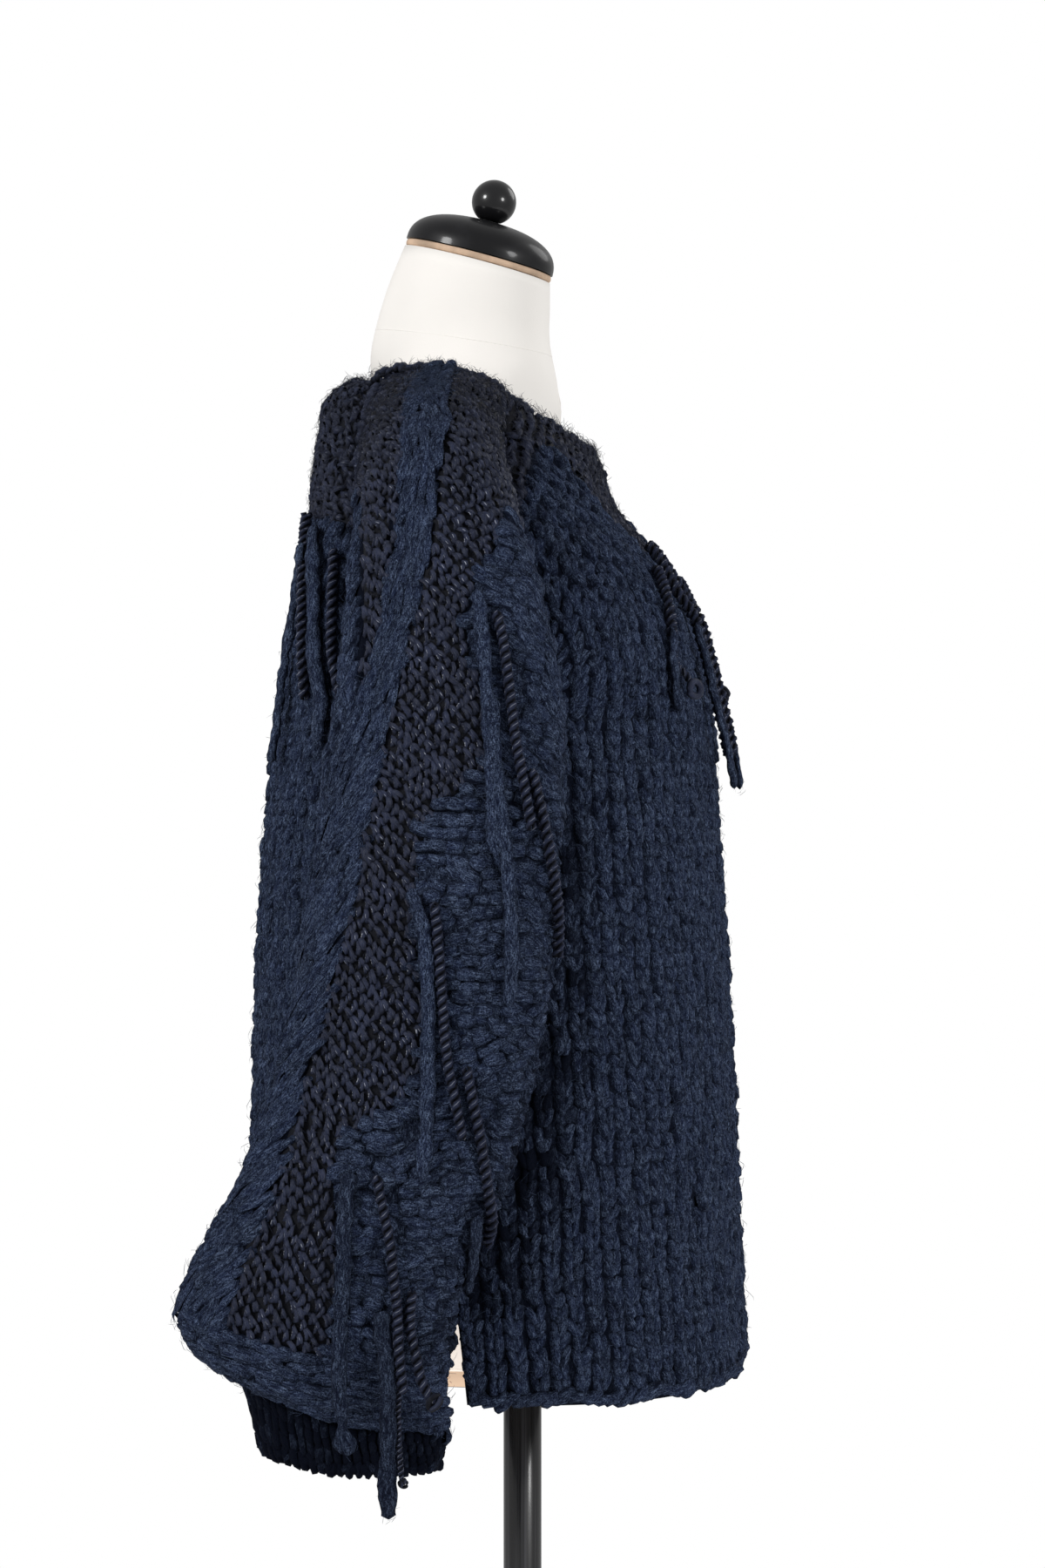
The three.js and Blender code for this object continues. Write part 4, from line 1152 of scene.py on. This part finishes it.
# Each tail is a kind of yarn, its stops, its end and its width. Stops on the knit are (ring, angle)
# or (row, across), and stops in the open are (x, y, height above the chest level), on the left.
TAILS = {
    "sleeve_upper": [
        ("roving", [(1.16, 21), (1.38, 23.5), (1.6, 26), (1.8, 29), (1.99, 32)], "round", 8.6),
        ("cord", [(1.22, 30), (1.32, 33), (1.48, 36), (1.64, 40), (1.78, 46), (1.9, 52)],
         "plain", 7.8),
        ("cord", [(1.72, 50), (1.84, 58), (1.98, 68), (2.12, 80), (2.27, 93)], "plain", 7.8),
        ("roving", [(1.52, 27), (1.68, 29), (1.9, 35), (2.1, 41), (2.28, 46), (2.42, 47)],
         "round", 9.2),
    ],
    "sleeve_middle": [
        ("roving", [(2.08, 1), (2.2, 6), (2.4, 10), (2.67, 15), (2.84, 20), (2.97, 24)],
         "round", 8.6),
        ("cord", [(2.12, 9), (2.2, 11), (2.41, 16), (2.6, 22), (2.72, 29), (2.84, 37)],
         "plain", 7.8),
        ("cord", [(2.6, 30), (2.7, 36), (2.82, 45), (3.0, 60), (3.12, 75), (3.22, 90)],
         "plain", 8.0),
        ("roving", [(3.1, 59), (3.2, 68), (3.3, 80), (3.38, 93)], "round", 9.0),
    ],
    "sleeve_low": [
        ("roving", [(2.95, -3), (3.1, 1), (3.28, 7), (3.45, 12), (318, 70, -340), (317, 70, -366),
                    (316, 68, -384), (315, 66, -398)], "blob", 9.5),
        ("cord", [(2.96, 6), (3.08, 13), (3.21, 22), (3.32, 29), (3.42, 35), (310, 36, -335),
                  (311, 34, -352), (311, 33, -362)], "plain", 7.8),
        ("cord", [(3.36, 40), (3.46, 43), (306, 26, -340), (308, 22, -356), (308, 15, -368)],
         "knot", 7.8),
        ("roving", [(3.42, 28), (3.5, 31), (312, 43, -345), (314, 42, -372), (313, 42, -400),
                    (312, 42, -420), (312, 42, -436)], "cut", 10.0),
        ("cord", [(3.47, 27), (309, 37, -350), (311, 36, -380), (311, 35, -402), (311, 34, -414)],
         "knot", 4.5),
    ],
    "chest": [
        ("cord", [(0.455, 0.02), (0.52, 0.035), (0.6, 0.05), (0.66, 0.055), (22, -115, 110),
                  (22, -120, 95), (22, -125, 76), (22, -131, 52), (22, -136, 30), (22, -138, 18)],
         "plain", 8.0),
        ("roving", [(26, -117, 104), (28, -122, 88), (28, -129, 60), (27, -135, 34), (25, -140, 12),
                    (24, -142, -3)], "round", 9.0),
        ("cord", [(0.57, 0.22), (0.61, 0.245), (0.65, 0.27), (0.72, 0.3), (0.8, 0.32)],
         "plain", 7.6),
        ("roving", [(0.77, 0.31), (0.83, 0.33), (0.9, 0.335), (0.95, 0.32), (0.99, 0.3)],
         "blob", 8.6),
        ("cord", [(0.84, 0.32), (0.88, 0.31), (113, -117, 70), (110, -121, 64)], "ring", 6.0),
    ],
    "shoulder": [
        ("cord", [(0.47, 0.52), (0.6, 0.58), (0.72, 0.64), (0.83, 0.64), (0.955, 0.61)],
         "plain", 8.0),
        ("roving", [(150, 122, 152), (150, 127, 115), (150, 131, 88), (151, 135, 60),
                    (152, 139, 28), (152, 142, 13)], "round", 9.0),
        ("roving", [(0.51, 0.69), (0.62, 0.73), (0.72, 0.76), (0.83, 0.74), (0.95, 0.71),
                    (1.07, 0.68)], "round", 12.0),
        ("cord", [(0.57, 0.87), (0.65, 0.87), (0.72, 0.865), (0.83, 0.83), (0.95, 0.79),
                  (1.1, 0.745)], "plain", 8.0),
    ],
}
OUTWARD = {"sleeve_low": (1.0, -0.2, 0.0), "chest": (0.3, -1.0, 0.1), "shoulder": (0.6, 0.8, 0.0)}
HOSTS = {"sleeve_upper": "sleeve_front", "sleeve_middle": "sleeve_front",
         "sleeve_low": "sleeve_end", "chest": "front_body", "shoulder": "back_body"}
PLY_PITCH = 1.48


def through(stops):
    """Evenly spaced points on a smooth line through stops."""
    stops = np.asarray(stops, float)
    length = distances(stops)
    s = np.linspace(0, length[-1], max(8, int(length[-1] * 0.6)))
    return np.stack([smooth_curve(length, column)(s) for column in stops.T], -1)


def tail_route(surface, group, stops, lift, side):
    """A tail's centreline and its outward directions."""
    points, outs = [], []
    flip = np.array([-1.0 if side == "right" else 1.0, 1.0, 1.0])
    for stop in stops:
        if len(stop) == 2:
            across = stop[1] if group.startswith("sleeve") else stop[1] * flip[0]
            at = np.array([stop[0]]), np.array([float(across)])
            out = surface.frame(*at)[2][0]
            points.append(surface.point(*at)[0] + out * lift)
        else:
            out = unit(np.array(OUTWARD[group])) * flip
            points.append((np.array(stop, float) + (0, 0, CHEST)) * flip)
        outs.append(out)
    line = through(points)
    t = np.linspace(0, len(outs) - 1, len(line))
    return line, unit(sample(t, np.arange(len(outs)), np.array(outs)))


def spin_plies(batch, line, normals, width, rng):
    """Two plies twisted round each other along a line."""
    place = np.arange(len(line)) * (distances(line)[-1] / (len(line) - 1))
    out, right = line_frame(line, normals)
    turns = place / (width * PLY_PITCH) + rng.uniform(0, 1) + 0.05 * np.sin(place / 13)
    ends = np.minimum(place, place[::-1])
    taper = np.sqrt(np.clip(ends / 2.0, 0.02, 1))
    for ply in (0.0, 0.5):
        twist = (turns + ply) * 2 * math.pi
        away = right * np.sin(twist)[:, None] + out * np.cos(twist)[:, None]
        centre = line + away * (width * 0.255) * np.maximum(taper, 0.5)[:, None]
        girth = width * 0.50 * taper * (1 + 0.24 * np.cos(2 * twist))
        girth = girth * (1 + rng.normal(0, 0.03, len(line)))
        phase = (turns + ply + 0.25) % 0.5 - 0.25
        # The notches between the plies are painted dark, as shade, and their crests painted lit.
        batch.sweep(centre, away, girth * 1.06, girth, 7, 2 + rng.random(),
                    phase * width * PLY_PITCH, base=-0.3)


def felted(batch, line, normals, width, rng, end):
    """An unspun strand: flat, uneven and rounded at its ends."""
    s = distances(line)
    uneven = 1 + 0.07 * wander(line, 26, int(width * 10)) + 0.05 * wander(line, 9, int(width * 7))
    start = np.sqrt(np.clip(s / 3, 0.01, 1))
    left = s[-1] - s
    close = np.sqrt(np.clip(left / (1.2 if end == "cut" else 4.5), 0.01, 1))
    if end == "blob":
        bulge, waist = (np.exp(-((left - from_end) / 6) ** 2) for from_end in (7, 18))
        uneven = uneven * (1 + 0.55 * bulge - 0.25 * waist)
    wide = width * uneven * start * close
    swing = np.cross(unit(np.gradient(line, axis=0)), normals) * wander(line, 34, 3)[:, None] * 0.4
    shade = 0.7 * ramp(line[:, 2].mean(), 700, -120)
    batch.sweep(line + swing, normals, wide, wide * 0.5, 12, rng.random() * 0.4 - shade)
    fuzz(batch, line, normals, rng, int(s[-1] * 0.7), length=(3, 7), spread=width * 0.3)


def ring_knot(batch, at, out, width, rng):
    """A strand's end curled into a small ring."""
    out = unit(np.asarray(out, float))
    right = unit(np.cross(out, (0.2, 0.1, 1.0)))
    up = np.cross(out, right)
    turn = np.linspace(0, 2 * math.pi * 1.1, 26)[:, None]
    curl = right * np.cos(turn) * width * 0.62 + up * np.sin(turn) * width * 0.62
    ends = np.minimum(np.arange(26), np.arange(26)[::-1])
    girth = width * 0.62 * np.sqrt(np.clip(ends / 2, 0.05, 1))
    batch.sweep(at + curl + out * turn * 0.25, np.tile(out, (26, 1)), girth, girth, 7,
                rng.random())


def hang_tails():
    surfaces = {"chest": body_surface("front"), "shoulder": body_surface("back")}
    for number, side in enumerate(SIDES):
        for group, tails in TAILS.items():
            surface = surfaces.get(group, sleeve_surface(side))
            rng = np.random.default_rng(TAIL_SEED + number)
            strands, plies = Batch(), Batch()
            for kind, stops, end, width in tails:
                line, normals = tail_route(surface, group, stops, width * 0.36 + 1.2, side)
                if kind == "roving":
                    felted(strands, line, normals, width, rng, end)
                    continue
                spin_plies(plies, line, normals, width, rng)
                if end == "knot":
                    for _ in range(2):
                        at = line[-1] + rng.normal(0, 0.8, 3)
                        ring_knot(plies, at, rng.normal(0, 1, 3), width * 0.8, rng)
                elif end == "ring":
                    out = (0.5 if side == "left" else -0.5, -0.5, 0.1)
                    ring_knot(plies, line[-1] + (0, -2, -4), out, 7.6, rng)
            roving_piece = strands.piece(f"tails_{group}_{side}", NAVY, felt=0.35)
            cord_piece = plies.piece(f"cords_{group}_{side}", CORD, felt=0.12)
            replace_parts(roving_piece, f"fringe_{group}_{side}")
            TAIL_PIECES.setdefault((HOSTS[group], side), []).extend([roving_piece, cord_piece])


# --- Dress form and stand ---

FORM_FOOT = -377
COLLAR_SEAM, FOOT_SEAM = 291, -366
CAP_BASE, CAP_HEIGHT, CAP_RADII = 5.3, 24, (45, 50)
BALL_RADIUS, BALL_BASE, BALL_STEM = 14.7, 29.6, math.asin(0.45)
FOOT_PROFILE = [
    (0, 0), (158.5, 0), (160, 1.5), (160, 5.5), (158.5, 7.6), (155, 9), (90, 10.6), (32, 12),
    (28, 14.5), (26, 18), (22.5, 38), (21, 40), (0, 40),
]


def form_section(height, turn):
    """A point of the padded form at a height above the chest level."""
    x, forward = rounded(turn, FORM.fullness(height))
    limit = np.where(forward > 0, FORM.front_y(height), FORM.back_y(height))
    mid = FORM.mid_y(height)
    y = mid + (limit - mid) * np.abs(forward)
    lean = np.maximum(0, height - NECK_START) / (NECK_TOP - NECK_START)
    z = CHEST + height + math.tan(NECK_TILT) * lean * (y - mid)
    return np.stack([x * FORM.half_width(height), y, z], -1)


def wrapped(name, divisions, place, slot):
    """A tube of points over (u round, v up), closed at its ends."""
    bm, u, v = grid(*divisions)
    for vert, p in zip(bm.verts, place(u, v) * MM):
        vert.co = p
    bmesh.ops.remove_doubles(bm, verts=bm.verts, dist=1e-6)
    bmesh.ops.holes_fill(bm, edges=[e for e in bm.edges if e.is_boundary])
    bmesh.ops.recalc_face_normals(bm, faces=bm.faces)
    return finished(name, mesh_from(bm, name), slot)


def lathe(name, profile, segments, slot, matrix=Matrix.Identity(4), scale=(1, 1)):
    """A turned piece: a profile of (radius, height), spun about the axis and closed."""
    bm = bmesh.new()
    verts = [bm.verts.new((r * MM, 0, h * MM)) for r, h in profile]
    edges = [bm.edges.new(pair) for pair in zip(verts, verts[1:])]
    bmesh.ops.spin(bm, geom=verts + edges, cent=(0, 0, 0), axis=(0, 0, 1), angle=2 * math.pi,
                   steps=segments, use_merge=True)
    bmesh.ops.remove_doubles(bm, verts=bm.verts, dist=1e-6)
    bmesh.ops.recalc_face_normals(bm, faces=bm.faces)
    bmesh.ops.scale(bm, verts=bm.verts, vec=(*scale, 1))
    bmesh.ops.transform(bm, verts=bm.verts, matrix=matrix)
    piece = finished(name, mesh_from(bm, name), slot)
    piece.data.set_sharp_from_angle(angle=math.radians(50))
    return piece


def seam_line(batch, heights, turns, width=1.1):
    """A stitched seam: a slight ridge along the form."""
    points = form_section(np.asarray(heights, float), np.asarray(turns, float))
    outs = unit((points - (0, 40, 0)) * (1, 1, 0))
    flat = np.full(len(points), width)
    batch.sweep(points - outs * 0.15, outs, flat, flat * 0.7, 6, 0.5)


def neck_matrix():
    """The frame of the neck's leaning top."""
    place = Matrix.Translation(Vector((0, float(FORM.mid_y(NECK_TOP)), CHEST + NECK_TOP)) * MM)
    return place @ Matrix.Rotation(NECK_TILT, 4, "X")


def gathered_strip(u, v):
    """A point of the linen strip, uneven round the neck's top and turned in at its edges."""
    turn = u * 2 * math.pi
    wave = 0.8 * np.sin(turn * 5 + 1) + 0.6 * np.sin(turn * 11) + 0.35 * np.sin(turn * 23 + 2)
    profile = np.sin(np.clip(v, 0, 1) * math.pi) ** 0.5
    radius = 0.962 + 0.028 * profile + 0.006 * wave * profile
    inner = np.where((v < 0.02) | (v > 0.98), 0.86, 1.0)
    x, y = CAP_RADII
    local = np.stack([np.cos(turn) * x * radius * inner, np.sin(turn) * y * radius * inner,
                      0.4 + 4.7 * v], -1)
    m = np.array(neck_matrix())
    return local @ m[:3, :3].T + m[:3, 3] / MM


def build_form():
    cover = wrapped("form_cover", (84, 96), lambda u, v: form_section(
        FORM_FOOT + (NECK_TOP - FORM_FOOT) * v, u * 2 * math.pi), "cream_jersey")
    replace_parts(cover, "form_torso")
    seams = Batch()
    turn = np.linspace(0, 2 * math.pi, 84)
    seam_line(seams, COLLAR_SEAM - 9 * np.sin(turn), turn)
    up = np.linspace(FORM_FOOT + 1, NECK_TOP - 1, 96)
    for side in (math.pi / 2, -math.pi / 2):
        seam_line(seams, up, np.full(96, side), 0.9)
    seam_line(seams, np.full(84, FOOT_SEAM), turn, 1.6)
    seams.piece("form_seams", "cream_jersey")
    strip = wrapped("form_linen", (120, 10), gathered_strip, "bare_linen")
    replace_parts(strip, "form_neck_strip")

    dome = []
    for degrees in range(0, 91, 5):
        radius, height = rounded(np.array(math.radians(degrees)), 2.5)
        dome.append((0 if degrees == 90 else float(radius), CAP_BASE + float(height) * CAP_HEIGHT))
    rim = [(0, CAP_BASE), (0.9, CAP_BASE), (0.985, CAP_BASE + 0.15)]
    cap = lathe("form_cap", rim + dome, 96, "satin_black", neck_matrix(), CAP_RADII)
    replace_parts(cap, "form_neck_cap")

    ball = [(0, BALL_BASE), (6.7, BALL_BASE), (6.3, BALL_BASE + 0.5)]
    middle = BALL_BASE + BALL_RADIUS * math.cos(BALL_STEM)
    for k in range(1, 33):
        angle = BALL_STEM + (math.pi - BALL_STEM) * k / 32
        radius = BALL_RADIUS * math.sin(angle) if k < 32 else 0
        ball.append((radius, middle - BALL_RADIUS * math.cos(angle)))
    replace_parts(lathe("form_ball", ball, 64, "gloss_black", neck_matrix()), "form_finial")


def build_stand():
    low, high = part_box("stand_pole")
    radius = (high[0] - low[0]) / 2 / MM
    bottom, top = low[2] / MM, high[2] / MM
    tube = [(0, bottom), (radius - 1, bottom), (radius, bottom + 1), (radius, top - 1),
            (radius - 1, top), (0, top)]
    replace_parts(lathe("stand_tube", tube, 96, "pole_black"), "stand_pole")
    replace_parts(lathe("stand_foot", FOOT_PROFILE, 128, "foot_black"), "stand_base")


# --- Settings ---

def amount(name, text, value, **kind):
    return FloatProperty(name=name, description=text, default=value, **kind)


def swatch(name, text, value):
    return FloatVectorProperty(name=name, description=text, subtype="COLOR", size=3, default=value)


class SweaterKnit(bpy.types.PropertyGroup):
    """Sizes of the stitches."""

    wale_width: amount("Wale width", "Width of one column of stitches", 0.0134, min=0.006, max=0.03,
                       unit="LENGTH")
    course_height: amount("Course height", "Height of one row of stitches", 0.0086, min=0.004,
                          max=0.02, unit="LENGTH")
    moss_pitch: amount("Moss pitch", "Spacing of the moss stitch's bumps", 0.0063, min=0.003,
                       max=0.015, unit="LENGTH")
    fibres: IntProperty(name="Fibres", description="How many loose fibres stand off the cloth",
                        default=9000, min=0, max=30000)


class SweaterColours(bpy.types.PropertyGroup):
    """Colours of the yarns, the form and the stand."""

    navy: swatch("Navy roving", "Colour of the felted roving", (0.0155, 0.0236, 0.0590))
    navy_fleck: swatch("Navy fleck", "Colour of its pale fibres", (0.172, 0.232, 0.365))
    charcoal: swatch("Charcoal cord", "Colour of the two-ply cord", (0.0172, 0.0228, 0.0500))
    # Besides the cord's pale fibres, this colour is the painted glint on its lobes.
    cord_glint: swatch("Cord glint", "Colour of its shiny fibres", (0.54, 0.57, 0.66))
    jersey: swatch("Jersey", "Colour of the form's cover", (0.87, 0.84, 0.80))
    linen: swatch("Linen", "Colour of the strip under the cap", (0.52, 0.37, 0.26))
    black: swatch("Black", "Colour of the cap, ball, pole and foot", (0.006, 0.006, 0.007))


class SweaterStudio(bpy.types.PropertyGroup):
    """The camera and lights."""

    distance: amount("Camera distance", "From the pole to the camera", 3.0, unit="LENGTH")
    angle: amount("Camera angle", "Turn of the camera from the right side", math.radians(7),
                  subtype="ANGLE")
    lens: amount("Lens", "Focal length in millimetres", 104.35)
    key: amount("Key light", "Power of the key light", 52.0, unit="POWER")
    fill: amount("Fill light", "Power of the fill light", 14.0, unit="POWER")
    sky: amount("Surround", "Brightness of the pale surround", 0.50)


def aimed(name, data, place, aim):
    """Links a camera or light at a place, facing a point."""
    thing = bpy.data.objects.new(name, data)
    thing.location = place
    thing.rotation_euler = (aim - Vector(place)).to_track_quat("-Z", "Y").to_euler()
    bpy.context.scene.collection.objects.link(thing)
    return thing


def surround(scene, brightness):
    """A world that is white where it shows, and lights the scene at its own brightness."""
    world = bpy.data.worlds.new("surround")
    world.use_nodes = True
    scene.world = world
    nodes, links = world.node_tree.nodes, world.node_tree.links
    nodes.clear()
    out, both = nodes.new("ShaderNodeOutputWorld"), nodes.new("ShaderNodeMixShader")
    path = nodes.new("ShaderNodeLightPath")
    links.new(path.outputs["Is Camera Ray"], both.inputs[0])
    for entry, strength in ((1, brightness), (2, 1.0)):
        light = nodes.new("ShaderNodeBackground")
        light.inputs["Color"].default_value = (1, 1, 1, 1)
        light.inputs["Strength"].default_value = strength
        links.new(light.outputs[0], both.inputs[entry])
    links.new(both.outputs[0], out.inputs[0])


class SWEATER_OT_studio(bpy.types.Operator):
    """Puts the camera, lights and pale floor in place."""

    bl_idname = "sweater.studio"
    bl_label = "Studio"

    def execute(self, context):
        studio, scene = context.scene.sweater_studio, context.scene
        aim = Vector((0, 0, CHEST * MM))
        lens = bpy.data.cameras.new("camera")
        lens.lens, lens.sensor_width, lens.clip_end = studio.lens, 36.0, 50.0
        towards = Vector((-math.cos(studio.angle), -math.sin(studio.angle), 0))
        scene.camera = aimed("camera", lens, aim + towards * studio.distance, aim)
        for name, power, size, place in (("key", studio.key, 0.8, (-2.0, 1.9, 2.3)),
                                         ("fill", studio.fill * 2.4, 0.8, (-1.8, -2.4, 1.7)),
                                         ("rim", studio.fill, 1.5, (1.6, -1.8, 2.4))):
            light = bpy.data.lights.new(name, "AREA")
            light.energy, light.size, light.shape = power, size, "DISK"
            aimed(name, light, place, aim)

        bm = bmesh.new()
        bmesh.ops.create_circle(bm, cap_ends=True, segments=96, radius=2.05)
        floor = bpy.data.objects.new("floor", mesh_from(bm, "floor"))
        scene.collection.objects.link(floor)
        pale = Finish("pale_floor")
        tint = pale.mix(pale.noise(pale.place, 3.0), (0.9, 0.9, 0.9, 1), (0.88, 0.88, 0.88, 1))
        floor.data.materials.append(pale.surface(Base_Color=tint, Roughness=0.8))
        surround(scene, studio.sky)
        scene.view_settings.view_transform = "Standard"
        return {"FINISHED"}


class SWEATER_OT_form(bpy.types.Operator):
    """Builds the padded form, its linen strip, cap and ball."""

    bl_idname = "sweater.form"
    bl_label = "Dress form"

    def execute(self, context):
        build_form()
        return {"FINISHED"}


class SWEATER_OT_stand(bpy.types.Operator):
    """Turns the pole and the round foot."""

    bl_idname = "sweater.stand"
    bl_label = "Stand"

    def execute(self, context):
        build_stand()
        return {"FINISHED"}


class SWEATER_OT_tails(bpy.types.Operator):
    """Hangs the yarn tails left at the colour changes."""

    bl_idname = "sweater.tails"
    bl_label = "Yarn tails"

    def execute(self, context):
        hang_tails()
        return {"FINISHED"}


class SWEATER_OT_body(bpy.types.Operator):
    """Knits the front and the back with their yokes and hems."""

    bl_idname = "sweater.body"
    bl_label = "Front and back"

    def execute(self, context):
        knit_body(context.scene.sweater_knit)
        return {"FINISHED"}


class SWEATER_OT_sleeves(bpy.types.Operator):
    """Knits both sleeves: ridge, moss bands, front, back and turned end."""

    bl_idname = "sweater.sleeves"
    bl_label = "Sleeves"

    def execute(self, context):
        knit_sleeves(context.scene.sweater_knit)
        return {"FINISHED"}


class SWEATER_OT_cuffs(bpy.types.Operator):
    """Knits the ribbed cuffs."""

    bl_idname = "sweater.cuffs"
    bl_label = "Cuffs"

    def execute(self, context):
        knit_cuffs()
        return {"FINISHED"}


class SWEATER_PT_panel(bpy.types.Panel):
    """Lists the sweater's settings and steps."""

    bl_idname = "SWEATER_PT_panel"
    bl_label = "Sweater"
    bl_space_type = "VIEW_3D"
    bl_region_type = "UI"
    bl_category = "Sweater"

    def draw(self, context):
        for group in ("sweater_knit", "sweater_colours", "sweater_studio"):
            settings = getattr(context.scene, group)
            for name in settings.bl_rna.properties.keys():
                if name not in ("rna_type", "name"):
                    self.layout.prop(settings, name)
        for operator in OPERATORS:
            self.layout.operator(operator.bl_idname)


OPERATORS = (SWEATER_OT_studio, SWEATER_OT_form, SWEATER_OT_stand, SWEATER_OT_tails,
             SWEATER_OT_body, SWEATER_OT_sleeves, SWEATER_OT_cuffs)
GROUPS = {"sweater_knit": SweaterKnit, "sweater_colours": SweaterColours,
          "sweater_studio": SweaterStudio}


def register():
    for cls in (*GROUPS.values(), *OPERATORS, SWEATER_PT_panel):
        bpy.utils.register_class(cls)
    for name, cls in GROUPS.items():
        setattr(bpy.types.Scene, name, PointerProperty(type=cls))


def unregister():
    for name in GROUPS:
        delattr(bpy.types.Scene, name)
    for cls in (SWEATER_PT_panel, *reversed(OPERATORS), *GROUPS.values()):
        bpy.utils.unregister_class(cls)


def main():
    register()
    for operator in OPERATORS:
        getattr(bpy.ops.sweater, operator.bl_idname.split(".")[1])()


if __name__ == "__main__":
    main()
